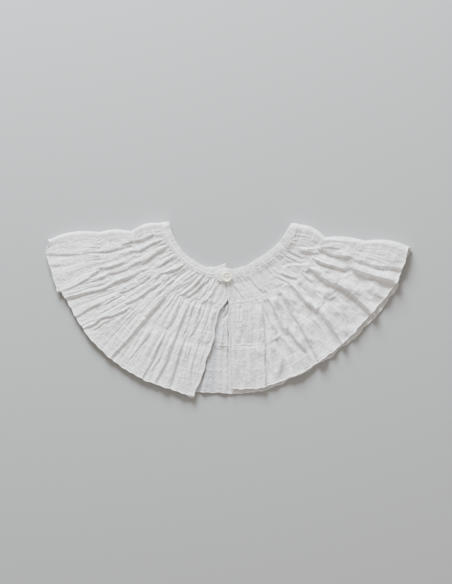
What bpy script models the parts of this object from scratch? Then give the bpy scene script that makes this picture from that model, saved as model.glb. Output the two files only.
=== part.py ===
"""Three-tier gathered collar with a bound neck, buttoned and laid on a flat surface.

The collar is a ring of cloth folded in half.  Its back lies on the surface, the two
fronts lie on the back, and the ring turns over at a soft fold on each side.  Each
tier is one strip: left front edge, left fold, back, right fold, right front edge.

Sizes are in millimetres and are scaled to metres when a mesh is made.  +X runs to
the right along the collar, +Y towards the neck and +Z up; Z = 0 is under the back.
The tables are measured from near the button; the part's origin is its box's middle.
"""

import math
from typing import NamedTuple

import bmesh
import bpy
from mathutils import Vector

MM = 0.001
MIDDLE = Vector((-0.3, 0.7, 0.0))   # the box's middle, in the tables' own frame

# Cloth
CLOTH_WALL = 1.0        # a tier's wall
BAND_WALL = 1.8         # the binding, four layers thick
SEAM_GAP = 0.3          # between two pieces that are sewn together
LAYER_GAP = 0.5         # between the back's gathers and the front above them
BACK_RISE = 1.4         # height of the back's gathers over its wall
BAND_ROUND = 0.5        # how far the binding's long edges round down
BAND_PROUD = 0.5        # how far the binding stands over the tier it holds

# Gathers and folds
COLUMNS_PER_WAVE = 4    # crest, flank, trough, flank
WAVE_UNEVEN = 0.35      # part of a wave's height that varies round the collar
UNEVEN_BEATS = (2.4, 0.83)      # radians a wave; two beats hide the repeat
WAVE_WANDER = 0.22      # how far a wave strays from even spacing, in wavelengths
WANDER_BEATS = (1.48, 0.14)
EDGE_CALM = 12.0        # the gathers die out over this length at a front edge
CREASE_WIDTH = 5.0      # half width of a main fold
CREASE_FULL = 0.45      # a main fold has its full depth from here on, neck 0 to hem 1
HEM_SCALLOP = 0.7       # the hem reaches this much further on a crest
LEAST_WALL = 1.2        # room that a bent wall takes for each millimetre of cloth
PUFF_LENGTH = 22.0      # a tier bellies out past its seams over this length at a fold

# Button
BUTTON_RADIUS = 5.5
BUTTON_HEIGHT = 2.2
BUTTON_X = -1.3
BUTTON_Y = 36.1
BUTTON_DISH = 0.7       # depth of the dished middle under the rim
BUTTON_RIM = 1.3        # width of the rounded rim
HOLE_RADIUS = 0.75
HOLE_SPACING = 3.4
BUTTON_SIDES = 28


class Rib(NamedTuple):
    """A line from the neck edge out to the hem, in plan, and what lies along it."""

    collar: tuple           # neck-side edge of the binding
    neck: tuple             # seam of the binding and tier 1
    neck_top: float         # height of a front's outer face at the neck
    seam_1: tuple = None    # seam of tiers 1 and 2
    seam_2: tuple = None    # seam of tiers 2 and 3
    hem: tuple = None
    hem_top: float = 0.0    # height of a front's outer face at the hem
    back: float = 0.0       # how far the back's hem reaches past the front's
    crease: float = 0.0     # a main fold down the front here: trough below zero


# Each side starts with the rib on its fold and ends with the one on its front edge.
LEFT = [
    #   collar          neck            top   seam_1          seam_2          hem             top  back crease
    Rib((-65.0, 96.5), (-75.0, 95.5), 9.0, (-107.0, 86.5), (-142.0, 85.5), (-200.5, 77.0), 6.6, 0.0, 0.0),
    Rib((-63.5, 89.0), (-73.5, 85.0), 8.4, (-106.0, 72.5), (-141.5, 63.5), (-199.0, 59.0), 6.4, -2.0, -0.7),
    Rib((-59.0, 78.0), (-68.5, 73.5), 7.4, (-98.0, 57.0), (-137.5, 42.5), (-188.5, 28.5), 6.4, 1.0, 1.1),
    Rib((-53.0, 68.0), (-62.0, 63.5), 6.6, (-88.0, 44.5), (-131.0, 26.5), (-178.0, 12.0), 6.0, -2.0, -1.3),
    Rib((-45.5, 59.5), (-53.0, 53.5), 6.0, (-77.0, 31.5), (-110.0, 6.5), (-156.5, -24.5), 6.0, -2.0, -1.0),
    Rib((-35.5, 52.5), (-42.0, 45.0), 5.8, (-67.5, 20.0), (-97.0, -8.0), (-129.0, -53.0), 6.0, -2.0, -1.9),
    Rib((-25.5, 48.0), (-31.0, 39.5), 5.6, (-49.5, 13.0), (-69.5, -26.0), (-96.0, -74.5), 5.8, -2.0, -1.4),
    Rib((-15.0, 48.5), (-18.0, 35.0), 5.0, (-29.0, 6.5), (-44.0, -35.0), (-59.5, -88.0), 5.6, -1.5, -0.8),
    Rib((-3.0, 51.0), (0.0, 40.0), 4.6, (-10.0, 1.0), (-19.0, -41.0), (-37.5, -95.0), 5.6, 0.0, 0.0),
]
RIGHT = [
    Rib((69.5, 95.0), (78.0, 94.0), 10.6, (106.5, 80.0), (150.5, 76.0), (198.5, 69.0), 10.0, 1.5, 0.0),
    Rib((63.5, 84.5), (71.5, 78.0), 9.6, (100.5, 67.0), (143.0, 59.0), (190.0, 43.0), 9.0, -1.5, -1.2),
    Rib((58.5, 77.0), (66.5, 70.0), 8.4, (95.0, 56.5), (134.0, 42.5), (180.0, 23.5), 8.0, 4.0, -1.3),
    Rib((52.5, 70.5), (60.5, 64.0), 7.2, (89.0, 46.5), (119.5, 24.0), (156.0, -4.5), 6.8, 6.0, -1.6),
    Rib((40.0, 60.5), (46.0, 52.5), 6.4, (69.0, 26.5), (97.5, 1.0), (127.5, -35.0), 6.0, 4.0, -1.1),
    Rib((31.5, 55.5), (37.0, 47.5), 6.0, (56.0, 18.5), (77.0, -14.5), (99.0, -57.0), 5.8, 2.0, -1.2),
    Rib((22.0, 49.5), (26.0, 41.0), 5.8, (44.0, 12.5), (61.5, -25.5), (80.0, -69.0), 5.6, 1.5, 0.8),
    Rib((15.0, 47.0), (18.5, 37.5), 5.9, (36.0, 9.0), (40.5, -37.5), (42.5, -83.5), 5.6, 3.5, -1.4),
    Rib((5.5, 44.0), (6.5, 34.0), 6.4, (16.5, 4.5), (19.5, -39.5), (22.0, -86.5), 5.6, 4.0, -0.9),
    Rib((-0.2, 45.2), (-0.2, 31.1), 7.3, (1.0, 2.0), (1.5, -40.0), (3.0, -86.0), 5.6, 0.0, 0.0),
]
CENTRE_BACK = Rib((0.0, 43.0), (0.0, 33.0), 0.0, (0.5, 3.0), (0.5, -40.0), (1.0, -91.5))
# The binding alone runs on past the right front edge as a tab over its left end.
TAB = [
    Rib((-6.8, 43.8), (-6.8, 30.8), 7.5),
    Rib((-14.7, 41.3), (-14.2, 31.4), 7.5),
]


class Panel(NamedTuple):
    """A stretch of the ring between its front edges and side folds."""

    ribs: list
    folds: tuple            # which of its ribs lie on a side fold
    edges: tuple            # which of its ribs lie on a front edge
    is_back: bool


def ring(tab=()):
    """The three panels in the order that a strip runs round them."""
    right_edge = len(RIGHT) - 1
    back = LEFT[:-1] + [CENTRE_BACK] + RIGHT[-2::-1]
    return [
        Panel(LEFT[::-1], (len(LEFT) - 1,), (0,), False),
        Panel(back, (0, len(back) - 1), (), True),
        Panel(RIGHT + list(tab), (0,), (right_edge + len(tab),), False),
    ]


def smooth(value):
    """0 to 1 with a soft start and end."""
    value = min(max(value, 0.0), 1.0)
    return value * value * (3.0 - 2.0 * value)


def mix(start, end, part):
    """A value or a point between two others."""
    return start + (end - start) * part


def curve(values, at):
    """A Catmull-Rom curve through the values, read at a row number and a fraction."""
    row = min(int(at), len(values) - 2)
    t = at - row
    here, after = values[row], values[row + 1]
    before = values[row - 1] if row > 0 else here * 2 - after
    beyond = values[row + 2] if row + 2 < len(values) else after * 2 - here
    bend = before * 2 - here * 5 + after * 4 - beyond
    twist = here * 3 - before - after * 3 + beyond
    return here + ((after - before) * t + bend * t * t + twist * t ** 3) * 0.5


def level_point(rib, level, is_back):
    """A rib's point at one of its levels; the back has its own hem."""
    point = Vector(getattr(rib, level))
    if is_back and level == "hem":
        point += (point - Vector(rib.seam_2)).normalized() * rib.back
    return point


class Strip(NamedTuple):
    """One piece of cloth that runs round the ring between two levels."""

    name: str
    top: str                # level of its upper edge
    bottom: str
    span: tuple             # where those levels lie from neck (0) to hem (1)
    waves: int
    rows: tuple             # (part of its depth, height of the gathers) for each row
    puff: float             # how far it bellies past its seams at the side folds
    wall: float
    bow: float              # how far its left front edge bellies towards the right


TIERS = [
    Strip("tier_1", "neck", "seam_1", (0.0, 0.27), 58,
          ((0.0, 0.35), (0.3, 0.75), (0.7, 0.65), (1.0, 0.35)), 3.6, CLOTH_WALL, 3.2),
    Strip("tier_2", "seam_1", "seam_2", (0.27, 0.58), 64,
          ((0.0, 0.4), (0.28, 1.0), (0.7, 0.8), (1.0, 0.4)), 2.4, CLOTH_WALL, 0.0),
    Strip("tier_3", "seam_2", "hem", (0.58, 1.0), 74,
          ((0.0, 0.4), (0.22, 1.1), (0.6, 0.95), (1.0, 1.15)), 4.4, CLOTH_WALL, 0.0),
]
BAND = Strip("neckband", "collar", "neck", (-0.07, 0.0), 25,
             ((0.0, 0.0), (0.15, 0.0), (0.85, 0.0), (1.0, 0.0)), 0.0, BAND_WALL, 0.0)


def edge_line(strip, panel, part):
    """The plan points of every rib of a panel at a part of the strip's depth."""
    line = []
    for rib in panel.ribs:
        top = level_point(rib, strip.top, panel.is_back)
        bottom = level_point(rib, strip.bottom, panel.is_back)
        down = (bottom - top).normalized()
        if strip.top != "collar":
            top += down * SEAM_GAP / 2
        if strip.bottom != "hem":
            bottom -= down * SEAM_GAP / 2
        line.append(mix(top, bottom, part))
    return line


def stations(strip, panels):
    """The length round the strip's middle at every rib: (length, panel, rib)."""
    length = 0.0
    found = []
    for panel in panels:
        line = edge_line(strip, panel, 0.5)
        for rib, point in enumerate(line):
            if rib > 0:
                length += (point - line[rib - 1]).length
            found.append((length, panel, rib))
    return found


def locate(found, length):
    """The panel and the rib number, with its fraction, at a length round the strip."""
    for (start, panel, rib), (end, next_panel, _) in zip(found, found[1:]):
        if panel is next_panel and length <= end:
            return panel, rib + (length - start) / (end - start)
    return found[-1][1], float(found[-1][2])


def turn_over(line, tops, fold, at):
    """Move a point near a side fold onto the half round that the cloth makes there.

    Returns its rib number, how high it stands as a part of the front's height, where
    the bottom of the half round is 0 and its top is 1, and how far past the half
    round it lies.
    """
    radius = tops[fold] / 2
    neighbour = fold + 1 if fold == 0 else fold - 1
    first_bay = (line[fold] - line[neighbour]).length
    quarter = math.pi / 2 * radius
    away = abs(at - fold)
    if away >= 1.0:
        return at, 1.0, first_bay * away - radius
    reach = away * (first_bay - radius + quarter)
    if reach < quarter:
        angle = reach / radius
        inward = radius * (1.0 - math.cos(angle))
        share = math.sin(angle)
    else:
        inward = radius + reach - quarter
        share = 1.0
    step = inward / first_bay
    return (step if fold == 0 else fold - step), share, inward - radius


def crease_depth(panel, line, at, level):
    """The main folds' depth at a rib number, fading in between the neck and hem."""
    bay = min(int(at), len(line) - 2)
    spacing = (line[bay + 1] - line[bay]).length
    total = 0.0
    for rib, row in enumerate(panel.ribs):
        across = (at - rib) * spacing / CREASE_WIDTH
        total += row.crease * math.exp(-across * across)
    return total * smooth(level / CREASE_FULL)


def wander(column, columns):
    """How far a column strays along the strip, in columns; none at the strip's ends."""
    wave = column / COLUMNS_PER_WAVE
    stray = WAVE_WANDER * math.sin(wave * WANDER_BEATS[0]) * math.sin(wave * WANDER_BEATS[1])
    return stray * min(column, columns - column, COLUMNS_PER_WAVE)


def wave_height(column, height):
    """The gathers' height in a column, uneven from one wave to the next."""
    wave = column / COLUMNS_PER_WAVE
    uneven = math.sin(wave * UNEVEN_BEATS[0]) * math.sin(wave * UNEVEN_BEATS[1] + 1.0)
    return height * (1.0 + WAVE_UNEVEN * uneven) * math.cos(wave * 2.0 * math.pi)


def edge_distance(panel, line, at):
    """The length along a panel's line to its front edge; far from one on the back."""
    if not panel.edges:
        return EDGE_CALM
    edge = panel.edges[0]
    inner = edge + 1 if edge == 0 else edge - 1
    return abs(at - edge) * (line[edge] - line[inner]).length


def outer_point(strip, panel, at, column, row):
    """A point of the strip's outer face, and the wall's thickness there."""
    part, height = strip.rows[row]
    is_band = strip is BAND
    level = mix(strip.span[0], strip.span[1], part)
    line = edge_line(strip, panel, part)
    tops = [mix(rib.neck_top, rib.hem_top or rib.neck_top, max(level, 0.0)) for rib in panel.ribs]
    if is_band:
        tops = [top + BAND_PROUD for top in tops]

    fold = min(panel.folds, key=lambda rib: abs(rib - at))
    inner = fold + 1 if fold == 0 else fold - 1
    outward = (line[fold] - line[inner]).normalized()
    at, share, past = turn_over(line, tops, fold, at)
    calm = smooth(past / tops[fold])
    place = curve(line, at)
    puffed = max(past, 0.0) / PUFF_LENGTH
    place = place + outward * strip.puff * math.sin(part * math.pi) * math.exp(-puffed * puffed)
    wave = 0.0 if is_band else wave_height(column, height) * calm

    if panel.is_back:
        rise = 0.0 if is_band else BACK_RISE * calm * (0.5 + 0.5 * wave / (height * (1.0 + WAVE_UNEVEN)))
        half = tops[fold] / 2
        return Vector((place.x, place.y, half * (1.0 - share))), strip.wall + rise

    inset = smooth(edge_distance(panel, line, at) / EDGE_CALM)
    wave *= inset
    if panel.edges[0] == 0:
        place.x += strip.bow * math.sin(part * math.pi) * (1.0 - inset)
    top = curve(tops, at)
    relief = wave + crease_depth(panel, line, at, level) * calm
    if is_band:
        relief = -BAND_ROUND * calm if row in (0, len(strip.rows) - 1) else 0.0
    lowest = CLOTH_WALL * LEAST_WALL + BACK_RISE + LAYER_GAP + strip.wall * LEAST_WALL
    standing = max(top + relief, lowest)
    if row == len(strip.rows) - 1 and strip.bottom == "hem":
        place = place + (place - curve(edge_line(strip, panel, 0.5), at)).normalized() * HEM_SCALLOP * wave / height
    return Vector((place.x, place.y, mix(top / 2, standing, share))), strip.wall


def make_material(name, colour, roughness):
    """A plain finish."""
    material = bpy.data.materials.new(name)
    material.use_nodes = True
    shader = material.node_tree.nodes["Principled BSDF"]
    shader.inputs["Base Color"].default_value = (*colour, 1.0)
    shader.inputs["Roughness"].default_value = roughness
    shader.inputs["Metallic"].default_value = 0.0
    return material


def make_object(name, mesh, material, collection):
    """A named object at the origin with one material."""
    made = bpy.data.objects.new(name, mesh)
    mesh.materials.append(material)
    collection.objects.link(made)
    return made


def make_strip(strip, panels, material, collection):
    """The strip's outer face as a displaced grid, thickened inwards by Solidify."""
    found = stations(strip, panels)
    columns = strip.waves * COLUMNS_PER_WAVE
    spacing = found[-1][0] / columns
    last_row = len(strip.rows) - 1
    grid = bmesh.new()
    bmesh.ops.create_grid(grid, x_segments=columns, y_segments=last_row, size=0.5)
    walls = []
    for vert in grid.verts:
        column = round((vert.co.x + 0.5) * columns)
        row = round((vert.co.y + 0.5) * last_row)
        panel, at = locate(found, (column + wander(column, columns)) * spacing)
        point, wall = outer_point(strip, panel, at, column, row)
        vert.co = (point - MIDDLE) * MM
        walls.append(wall)
    mesh = bpy.data.meshes.new(strip.name)
    grid.to_mesh(mesh)
    grid.free()
    made = make_object(strip.name, mesh, material, collection)

    thickest = max(walls)
    group = made.vertex_groups.new(name="wall")
    for index, wall in enumerate(walls):
        group.add([index], wall / thickest, "REPLACE")
    shell = made.modifiers.new("wall", "SOLIDIFY")
    shell.thickness = thickest * MM
    shell.offset = -1.0
    shell.use_even_offset = False
    shell.vertex_group = group.name
    return made


def make_button(material, collection):
    """A turned shirt button with a rounded rim, a dished middle and two holes."""
    seat = Vector((BUTTON_X, BUTTON_Y, TAB[0].neck_top + BAND_PROUD + SEAM_GAP)) - MIDDLE
    rim_middle = BUTTON_RADIUS - BUTTON_RIM / 2
    profile = [
        (0.0, BUTTON_HEIGHT - BUTTON_DISH),
        (BUTTON_RADIUS - BUTTON_RIM, BUTTON_HEIGHT - BUTTON_DISH),
        (rim_middle, BUTTON_HEIGHT),
        (BUTTON_RADIUS - 0.2, BUTTON_HEIGHT - 0.3),
        (BUTTON_RADIUS, BUTTON_HEIGHT / 2),
        (BUTTON_RADIUS - 1.2, 0.0),
        (0.0, 0.0),
    ]
    outline = bmesh.new()
    corners = [outline.verts.new((x * MM, 0.0, z * MM)) for x, z in profile]
    for corner, following in zip(corners, corners[1:]):
        outline.edges.new((corner, following))
    bmesh.ops.spin(
        outline, geom=outline.verts[:] + outline.edges[:], axis=(0.0, 0.0, 1.0), cent=(0.0, 0.0, 0.0),
        steps=BUTTON_SIDES, angle=math.tau, use_merge=True,
    )
    bmesh.ops.remove_doubles(outline, verts=outline.verts, dist=0.00001)
    bmesh.ops.recalc_face_normals(outline, faces=outline.faces)
    mesh = bpy.data.meshes.new("button")
    outline.to_mesh(mesh)
    outline.free()
    button = make_object("button", mesh, material, collection)
    button.location = seat * MM
    mesh.shade_smooth()

    cutters = bpy.data.collections.new("cutters")
    bpy.context.scene.collection.children.link(cutters)
    for side in (-1, 1):
        drill = bmesh.new()
        bmesh.ops.create_cone(
            drill, cap_ends=True, segments=10, radius1=HOLE_RADIUS * MM, radius2=HOLE_RADIUS * MM,
            depth=3 * BUTTON_HEIGHT * MM,
        )
        drill_mesh = bpy.data.meshes.new("hole_cutter")
        drill.to_mesh(drill_mesh)
        drill.free()
        cutter = bpy.data.objects.new("hole_cutter", drill_mesh)
        cutter.location = (seat + Vector((side * HOLE_SPACING / 2, 0.0, 0.0))) * MM
        cutter.hide_render = True
        cutter.display_type = "WIRE"
        cutters.objects.link(cutter)
        cut = button.modifiers.new("hole", "BOOLEAN")
        cut.object = cutter
        cut.operation = "DIFFERENCE"
    return button


for old in list(bpy.data.objects):
    bpy.data.objects.remove(old, do_unlink=True)
collar = bpy.data.collections.new("gathered collar")
bpy.context.scene.collection.children.link(collar)
cotton = make_material("white cotton voile", (0.86, 0.85, 0.86), 0.9)
pearl = make_material("cream button", (0.85, 0.8, 0.7), 0.35)
for tier in TIERS:
    make_strip(tier, ring(), cotton, collar)
make_strip(BAND, ring(TAB), cotton, collar)
make_button(pearl, collar)
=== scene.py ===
import math
from typing import NamedTuple

import bmesh
import bpy
import numpy as np
from mathutils import Matrix, Vector


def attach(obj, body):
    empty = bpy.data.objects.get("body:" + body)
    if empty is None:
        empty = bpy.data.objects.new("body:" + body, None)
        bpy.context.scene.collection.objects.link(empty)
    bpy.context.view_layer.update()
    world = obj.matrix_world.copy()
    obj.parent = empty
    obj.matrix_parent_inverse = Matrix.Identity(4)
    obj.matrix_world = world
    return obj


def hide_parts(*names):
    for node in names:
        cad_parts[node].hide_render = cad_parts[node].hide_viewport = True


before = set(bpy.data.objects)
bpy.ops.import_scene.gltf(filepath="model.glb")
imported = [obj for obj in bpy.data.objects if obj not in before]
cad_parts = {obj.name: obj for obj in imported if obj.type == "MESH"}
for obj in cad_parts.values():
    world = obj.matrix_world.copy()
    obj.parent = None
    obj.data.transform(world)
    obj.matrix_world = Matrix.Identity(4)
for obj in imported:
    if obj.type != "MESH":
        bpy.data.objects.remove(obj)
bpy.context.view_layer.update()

# ------------------------------------------------------------------------------
# Tier 1 is the first strip of crinkled cotton voile.  It is gathered along its
# upper edge and sewn into the neck's binding, and it runs all round the collar:
# left front, left fold, back, right fold, right front.
# ------------------------------------------------------------------------------
MM = 0.001
MIDDLE = np.array((-0.3, 0.7, 0.0))     # the collar's middle, from the pattern's zero near the button


class Rib(NamedTuple):
    """A line of the pattern from the neck edge out to the hem, in millimetres."""

    collar: tuple           # neck-side edge of the binding
    neck: tuple             # seam of the binding and tier 1
    neck_top: float         # height of a front's outer face at the neck
    seam_1: tuple = None    # seam of tiers 1 and 2
    seam_2: tuple = None    # seam of tiers 2 and 3
    hem: tuple = None
    hem_top: float = 0.0    # height of a front's outer face at the hem
    back: float = 0.0       # how far the back's hem reaches past the front's


# Each side starts with the rib on its fold and ends with the one on its front edge.
LEFT = [
    #   collar          neck            top   seam_1          seam_2          hem             top  back
    Rib((-65.0, 96.5), (-75.0, 95.5), 9.0, (-107.0, 86.5), (-142.0, 85.5), (-200.5, 77.0), 6.6, 0.0),
    Rib((-63.5, 89.0), (-73.5, 85.0), 8.4, (-106.0, 72.5), (-141.5, 63.5), (-199.0, 59.0), 6.4, -2.0),
    Rib((-59.0, 78.0), (-68.5, 73.5), 7.4, (-98.0, 57.0), (-137.5, 42.5), (-188.5, 28.5), 6.4, 1.0),
    Rib((-53.0, 68.0), (-62.0, 63.5), 6.6, (-88.0, 44.5), (-131.0, 26.5), (-178.0, 12.0), 6.0, -2.0),
    Rib((-45.5, 59.5), (-53.0, 53.5), 6.0, (-77.0, 31.5), (-110.0, 6.5), (-156.5, -24.5), 6.0, -2.0),
    Rib((-35.5, 52.5), (-42.0, 45.0), 5.8, (-67.5, 20.0), (-97.0, -8.0), (-129.0, -53.0), 6.0, -2.0),
    Rib((-25.5, 47.2), (-31.0, 39.5), 5.6, (-49.5, 13.0), (-69.5, -26.0), (-96.0, -74.5), 5.8, -2.0),
    Rib((-15.0, 46.6), (-18.0, 35.0), 5.0, (-29.0, 6.5), (-44.0, -35.0), (-59.5, -88.0), 5.6, -1.5),
    Rib((-3.0, 51.0), (0.0, 40.0), 4.6, (-10.0, 1.0), (-19.0, -41.0), (-37.5, -95.0), 5.6, 0.0),
]
RIGHT = [
    Rib((69.5, 95.0), (78.0, 94.0), 10.6, (106.5, 80.0), (150.5, 76.0), (198.5, 69.0), 10.0, 1.5),
    Rib((63.5, 84.5), (71.5, 78.0), 9.6, (100.5, 67.0), (143.0, 59.0), (190.0, 43.0), 9.0, -1.5),
    Rib((58.5, 77.0), (66.5, 70.0), 8.4, (95.0, 56.5), (134.0, 42.5), (180.0, 23.5), 8.0, 4.0),
    Rib((52.5, 70.5), (60.5, 64.0), 7.2, (89.0, 46.5), (119.5, 24.0), (156.0, -4.5), 6.8, 6.0),
    Rib((40.0, 60.5), (46.0, 52.5), 6.4, (69.0, 26.5), (97.5, 1.0), (127.5, -35.0), 6.0, 4.0),
    Rib((31.5, 55.5), (37.0, 47.5), 6.0, (56.0, 18.5), (77.0, -14.5), (99.0, -57.0), 5.8, 2.0),
    Rib((22.0, 49.5), (26.0, 41.0), 5.8, (44.0, 12.5), (61.5, -25.5), (80.0, -69.0), 5.6, 1.5),
    Rib((15.0, 47.0), (18.5, 37.5), 5.9, (36.0, 9.0), (40.5, -37.5), (42.5, -83.5), 5.6, 3.5),
    Rib((5.5, 44.0), (6.5, 34.0), 6.4, (16.5, 4.5), (19.5, -39.5), (22.0, -86.5), 5.6, 4.0),
    Rib((-0.2, 45.2), (-0.2, 31.1), 7.3, (1.0, 2.0), (1.5, -40.0), (3.0, -86.0), 5.6, 0.0),
]
CENTRE_BACK = Rib((0.0, 43.0), (0.0, 33.0), 0.0, (0.5, 3.0), (0.5, -40.0), (1.0, -91.5))
# Places round the ring are counted in ribs from 0 on the left front edge.  These are 8, 16, 25 and 34.
LEFT_FOLD = len(LEFT) - 1
BACK_MIDDLE = LEFT_FOLD + len(LEFT) - 1
RIGHT_FOLD = BACK_MIDDLE + len(RIGHT) - 1
RIGHT_EDGE = RIGHT_FOLD + len(RIGHT) - 1
FAR_OFF = 1000.0            # stands for a distance where there is no fold or edge to measure from
PUFF_REACH = 24.0           # how far in from a side fold the cloth bellies
BOW_REACH = 12.0            # how far in from the left front edge it bows


class Panel(NamedTuple):
    """A stretch of the ring between its front edges and side folds."""

    ribs: list
    folds: tuple            # which of its ribs lie on a side fold
    edge: int               # which of its ribs lies on a front edge, or None
    is_back: bool


class Strip(NamedTuple):
    """One piece of cloth that runs round the ring between two levels."""

    top: str
    bottom: str
    span: tuple             # where those levels lie from neck (0) to hem (1)
    puff: float             # how far it bellies past its seams at the side folds
    bow: float              # how far its left front edge bellies towards the right
    tab: tuple = ()         # ribs past the right front edge


def ring(strip):
    """The three panels in the order that a strip runs round them."""
    back = LEFT[:-1] + [CENTRE_BACK] + RIGHT[-2::-1]
    right = RIGHT + list(strip.tab)
    return [
        Panel(LEFT[::-1], (len(LEFT) - 1,), 0, False),
        Panel(back, (0, len(back) - 1), None, True),
        Panel(right, (0,), len(right) - 1, False),
    ]


def smooth(value):
    """0 to 1 with a soft start and end."""
    value = np.clip(value, 0.0, 1.0)
    return value * value * (3.0 - 2.0 * value)


def curve(values, at):
    """Catmull-Rom curves down the columns of a table, read at row numbers with fractions."""
    last = len(values) - 1
    shape = at.shape + (1,) * (values.ndim - 2)
    row = np.clip(at.astype(int), 0, last - 1)
    column = np.broadcast_to(np.arange(values.shape[1]), at.shape)
    t = (at - row).reshape(shape)
    here, after = values[row, column], values[row + 1, column]
    before = values[np.maximum(row - 1, 0), column]
    before = np.where((row == 0).reshape(shape), here * 2 - after, before)
    beyond = values[np.minimum(row + 2, last), column]
    beyond = np.where((row + 2 > last).reshape(shape), after * 2 - here, beyond)
    bend = before * 2 - here * 5 + after * 4 - beyond
    twist = here * 3 - before - after * 3 + beyond
    return here + ((after - before) * t + bend * t * t + twist * t ** 3) * 0.5


def lengths_along(line):
    """The length of a line up to each of its points."""
    return np.concatenate(([0.0], np.cumsum(np.linalg.norm(np.diff(line, axis=0), axis=1))))


def next_in(place):
    """The rib beside the first or last one of a panel."""
    return 1 if place == 0 else place - 1


def rib_tops(panel, level):
    """Height of the outer face on each rib of a panel, at levels from neck (0) to hem (1)."""
    tops = []
    for rib in panel.ribs:
        hem_top = rib.hem_top or rib.neck_top
        tops.append(rib.neck_top + (hem_top - rib.neck_top) * level)
    return np.array(tops)


def rib_lines(strip, panel, parts):
    """Plan points of every rib of a panel at each part of the strip's depth."""
    lines = []
    for rib in panel.ribs:
        top = np.array(getattr(rib, strip.top))
        bottom = np.array(getattr(rib, strip.bottom))
        if panel.is_back and strip.bottom == "hem":
            bottom = bottom + (bottom - top) / np.linalg.norm(bottom - top) * rib.back
        lines.append([top + (bottom - top) * part for part in parts])
    return np.array(lines)


class Lay(NamedTuple):
    """A strip's smooth resting surface, as arrays of columns by rows."""

    point: np.ndarray
    outward: np.ndarray
    along: np.ndarray       # length round the strip's middle, one for each column
    rib: np.ndarray         # the same place counted in ribs round the ring
    part: np.ndarray        # part of the depth, one for each row
    is_back: np.ndarray     # one for each column
    past_fold: np.ndarray   # length from the nearest side fold's half round
    to_edge: np.ndarray     # length to the panel's front edge


def lay_out(strip, columns, parts):
    """Lay a strip round the ring, with a half round at each side fold."""
    parts = np.array(parts)
    panels = ring(strip)
    along, which, rib, number_at = [], [], [], []
    length_done, ribs_done = 0.0, 0
    for number, (panel, count) in enumerate(zip(panels, columns)):
        lengths = lengths_along(rib_lines(strip, panel, [0.5])[:, 0])
        places = np.linspace(0.0, lengths[-1], count + 1)[0 if number == 0 else 1:]
        numbers = np.interp(places, lengths, np.arange(len(lengths)))
        along.append(places + length_done)
        which.append(np.full(len(places), number))
        rib.append(numbers + ribs_done)
        number_at.append(numbers)
        length_done += lengths[-1]
        ribs_done += len(lengths) - 1
    along, which, rib, number_at = (np.concatenate(part) for part in (along, which, rib, number_at))
    shape = (len(along), len(parts))
    point, outward = np.zeros(shape + (3,)), np.zeros(shape + (3,))
    past_fold, to_edge = np.zeros(shape), np.full(shape, FAR_OFF)
    level = np.maximum(strip.span[0] + (strip.span[1] - strip.span[0]) * parts, 0.0)
    for number, panel in enumerate(panels):
        mine = which == number
        line = rib_lines(strip, panel, parts)
        tops = rib_tops(panel, level)
        at = np.repeat(number_at[mine][:, None], len(parts), axis=1)
        share, lean, past = np.ones(at.shape), np.zeros(at.shape), np.full(at.shape, FAR_OFF)
        away_from_cloth = np.zeros(at.shape + (2,))
        for fold in panel.folds:
            inner = next_in(fold)
            bay = np.linalg.norm(line[fold] - line[inner], axis=1)
            radius = tops[fold] / 2
            quarter = math.pi / 2 * radius
            away = np.abs(at - fold)
            reach = away * (bay - radius + quarter)
            angle = np.minimum(reach / radius, math.pi / 2)
            inward = radius * (1 - np.cos(angle)) + np.maximum(reach - quarter, 0.0)
            near = away < 1.0
            share = np.where(near, np.sin(angle), share)
            lean = np.where(near, np.cos(angle), lean)
            outside = (line[fold] - line[inner]) / bay[:, None]
            away_from_cloth = np.where(near[..., None], outside, away_from_cloth)
            past = np.minimum(past, np.where(near, inward - radius, away * bay - radius))
            step = inward / bay
            at = np.where(near, step if fold == 0 else fold - step, at)
        place = curve(line, at)
        for fold in panel.folds:
            inner = next_in(fold)
            outside = line[fold] - line[inner]
            outside = outside / np.linalg.norm(outside, axis=1)[:, None]
            belly = strip.puff * np.sin(np.clip(parts, 0.0, 1.0) * math.pi)
            distance = np.linalg.norm(place - line[fold], axis=2)
            place = place + outside * (belly * np.exp(-(distance / PUFF_REACH) ** 2))[..., None]
        if panel.edge is not None:
            inner = next_in(panel.edge)
            bay = np.linalg.norm(line[panel.edge] - line[inner], axis=1)
            to_edge[mine] = np.abs(at - panel.edge) * bay
            if panel.edge == 0:
                by_edge = 1 - smooth(to_edge[mine] / BOW_REACH)
                place[..., 0] += strip.bow * np.sin(np.clip(parts, 0.0, 1.0) ** 1.5 * math.pi) * by_edge
        if panel.is_back:
            edge_tops = np.where(at < len(panel.ribs) / 2, tops[0], tops[-1])
            height = edge_tops / 2 * (1 - share)
            up = -share
        else:
            height = curve(tops, at) * (0.5 + 0.5 * share)
            up = share
        point[mine] = np.concatenate((place, height[..., None]), axis=2)
        outward[mine] = np.concatenate((away_from_cloth * lean[..., None], up[..., None]), axis=2)
        past_fold[mine] = past
    return Lay(point, outward, along, rib, parts, which == 1, past_fold, to_edge)


class Gathers(NamedTuple):
    """Where gathers stand along a seam, and how large each one is."""

    rib: np.ndarray         # counted in ribs round the ring
    size: np.ndarray
    lengths: np.ndarray     # the seam's length up to each rib


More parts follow.
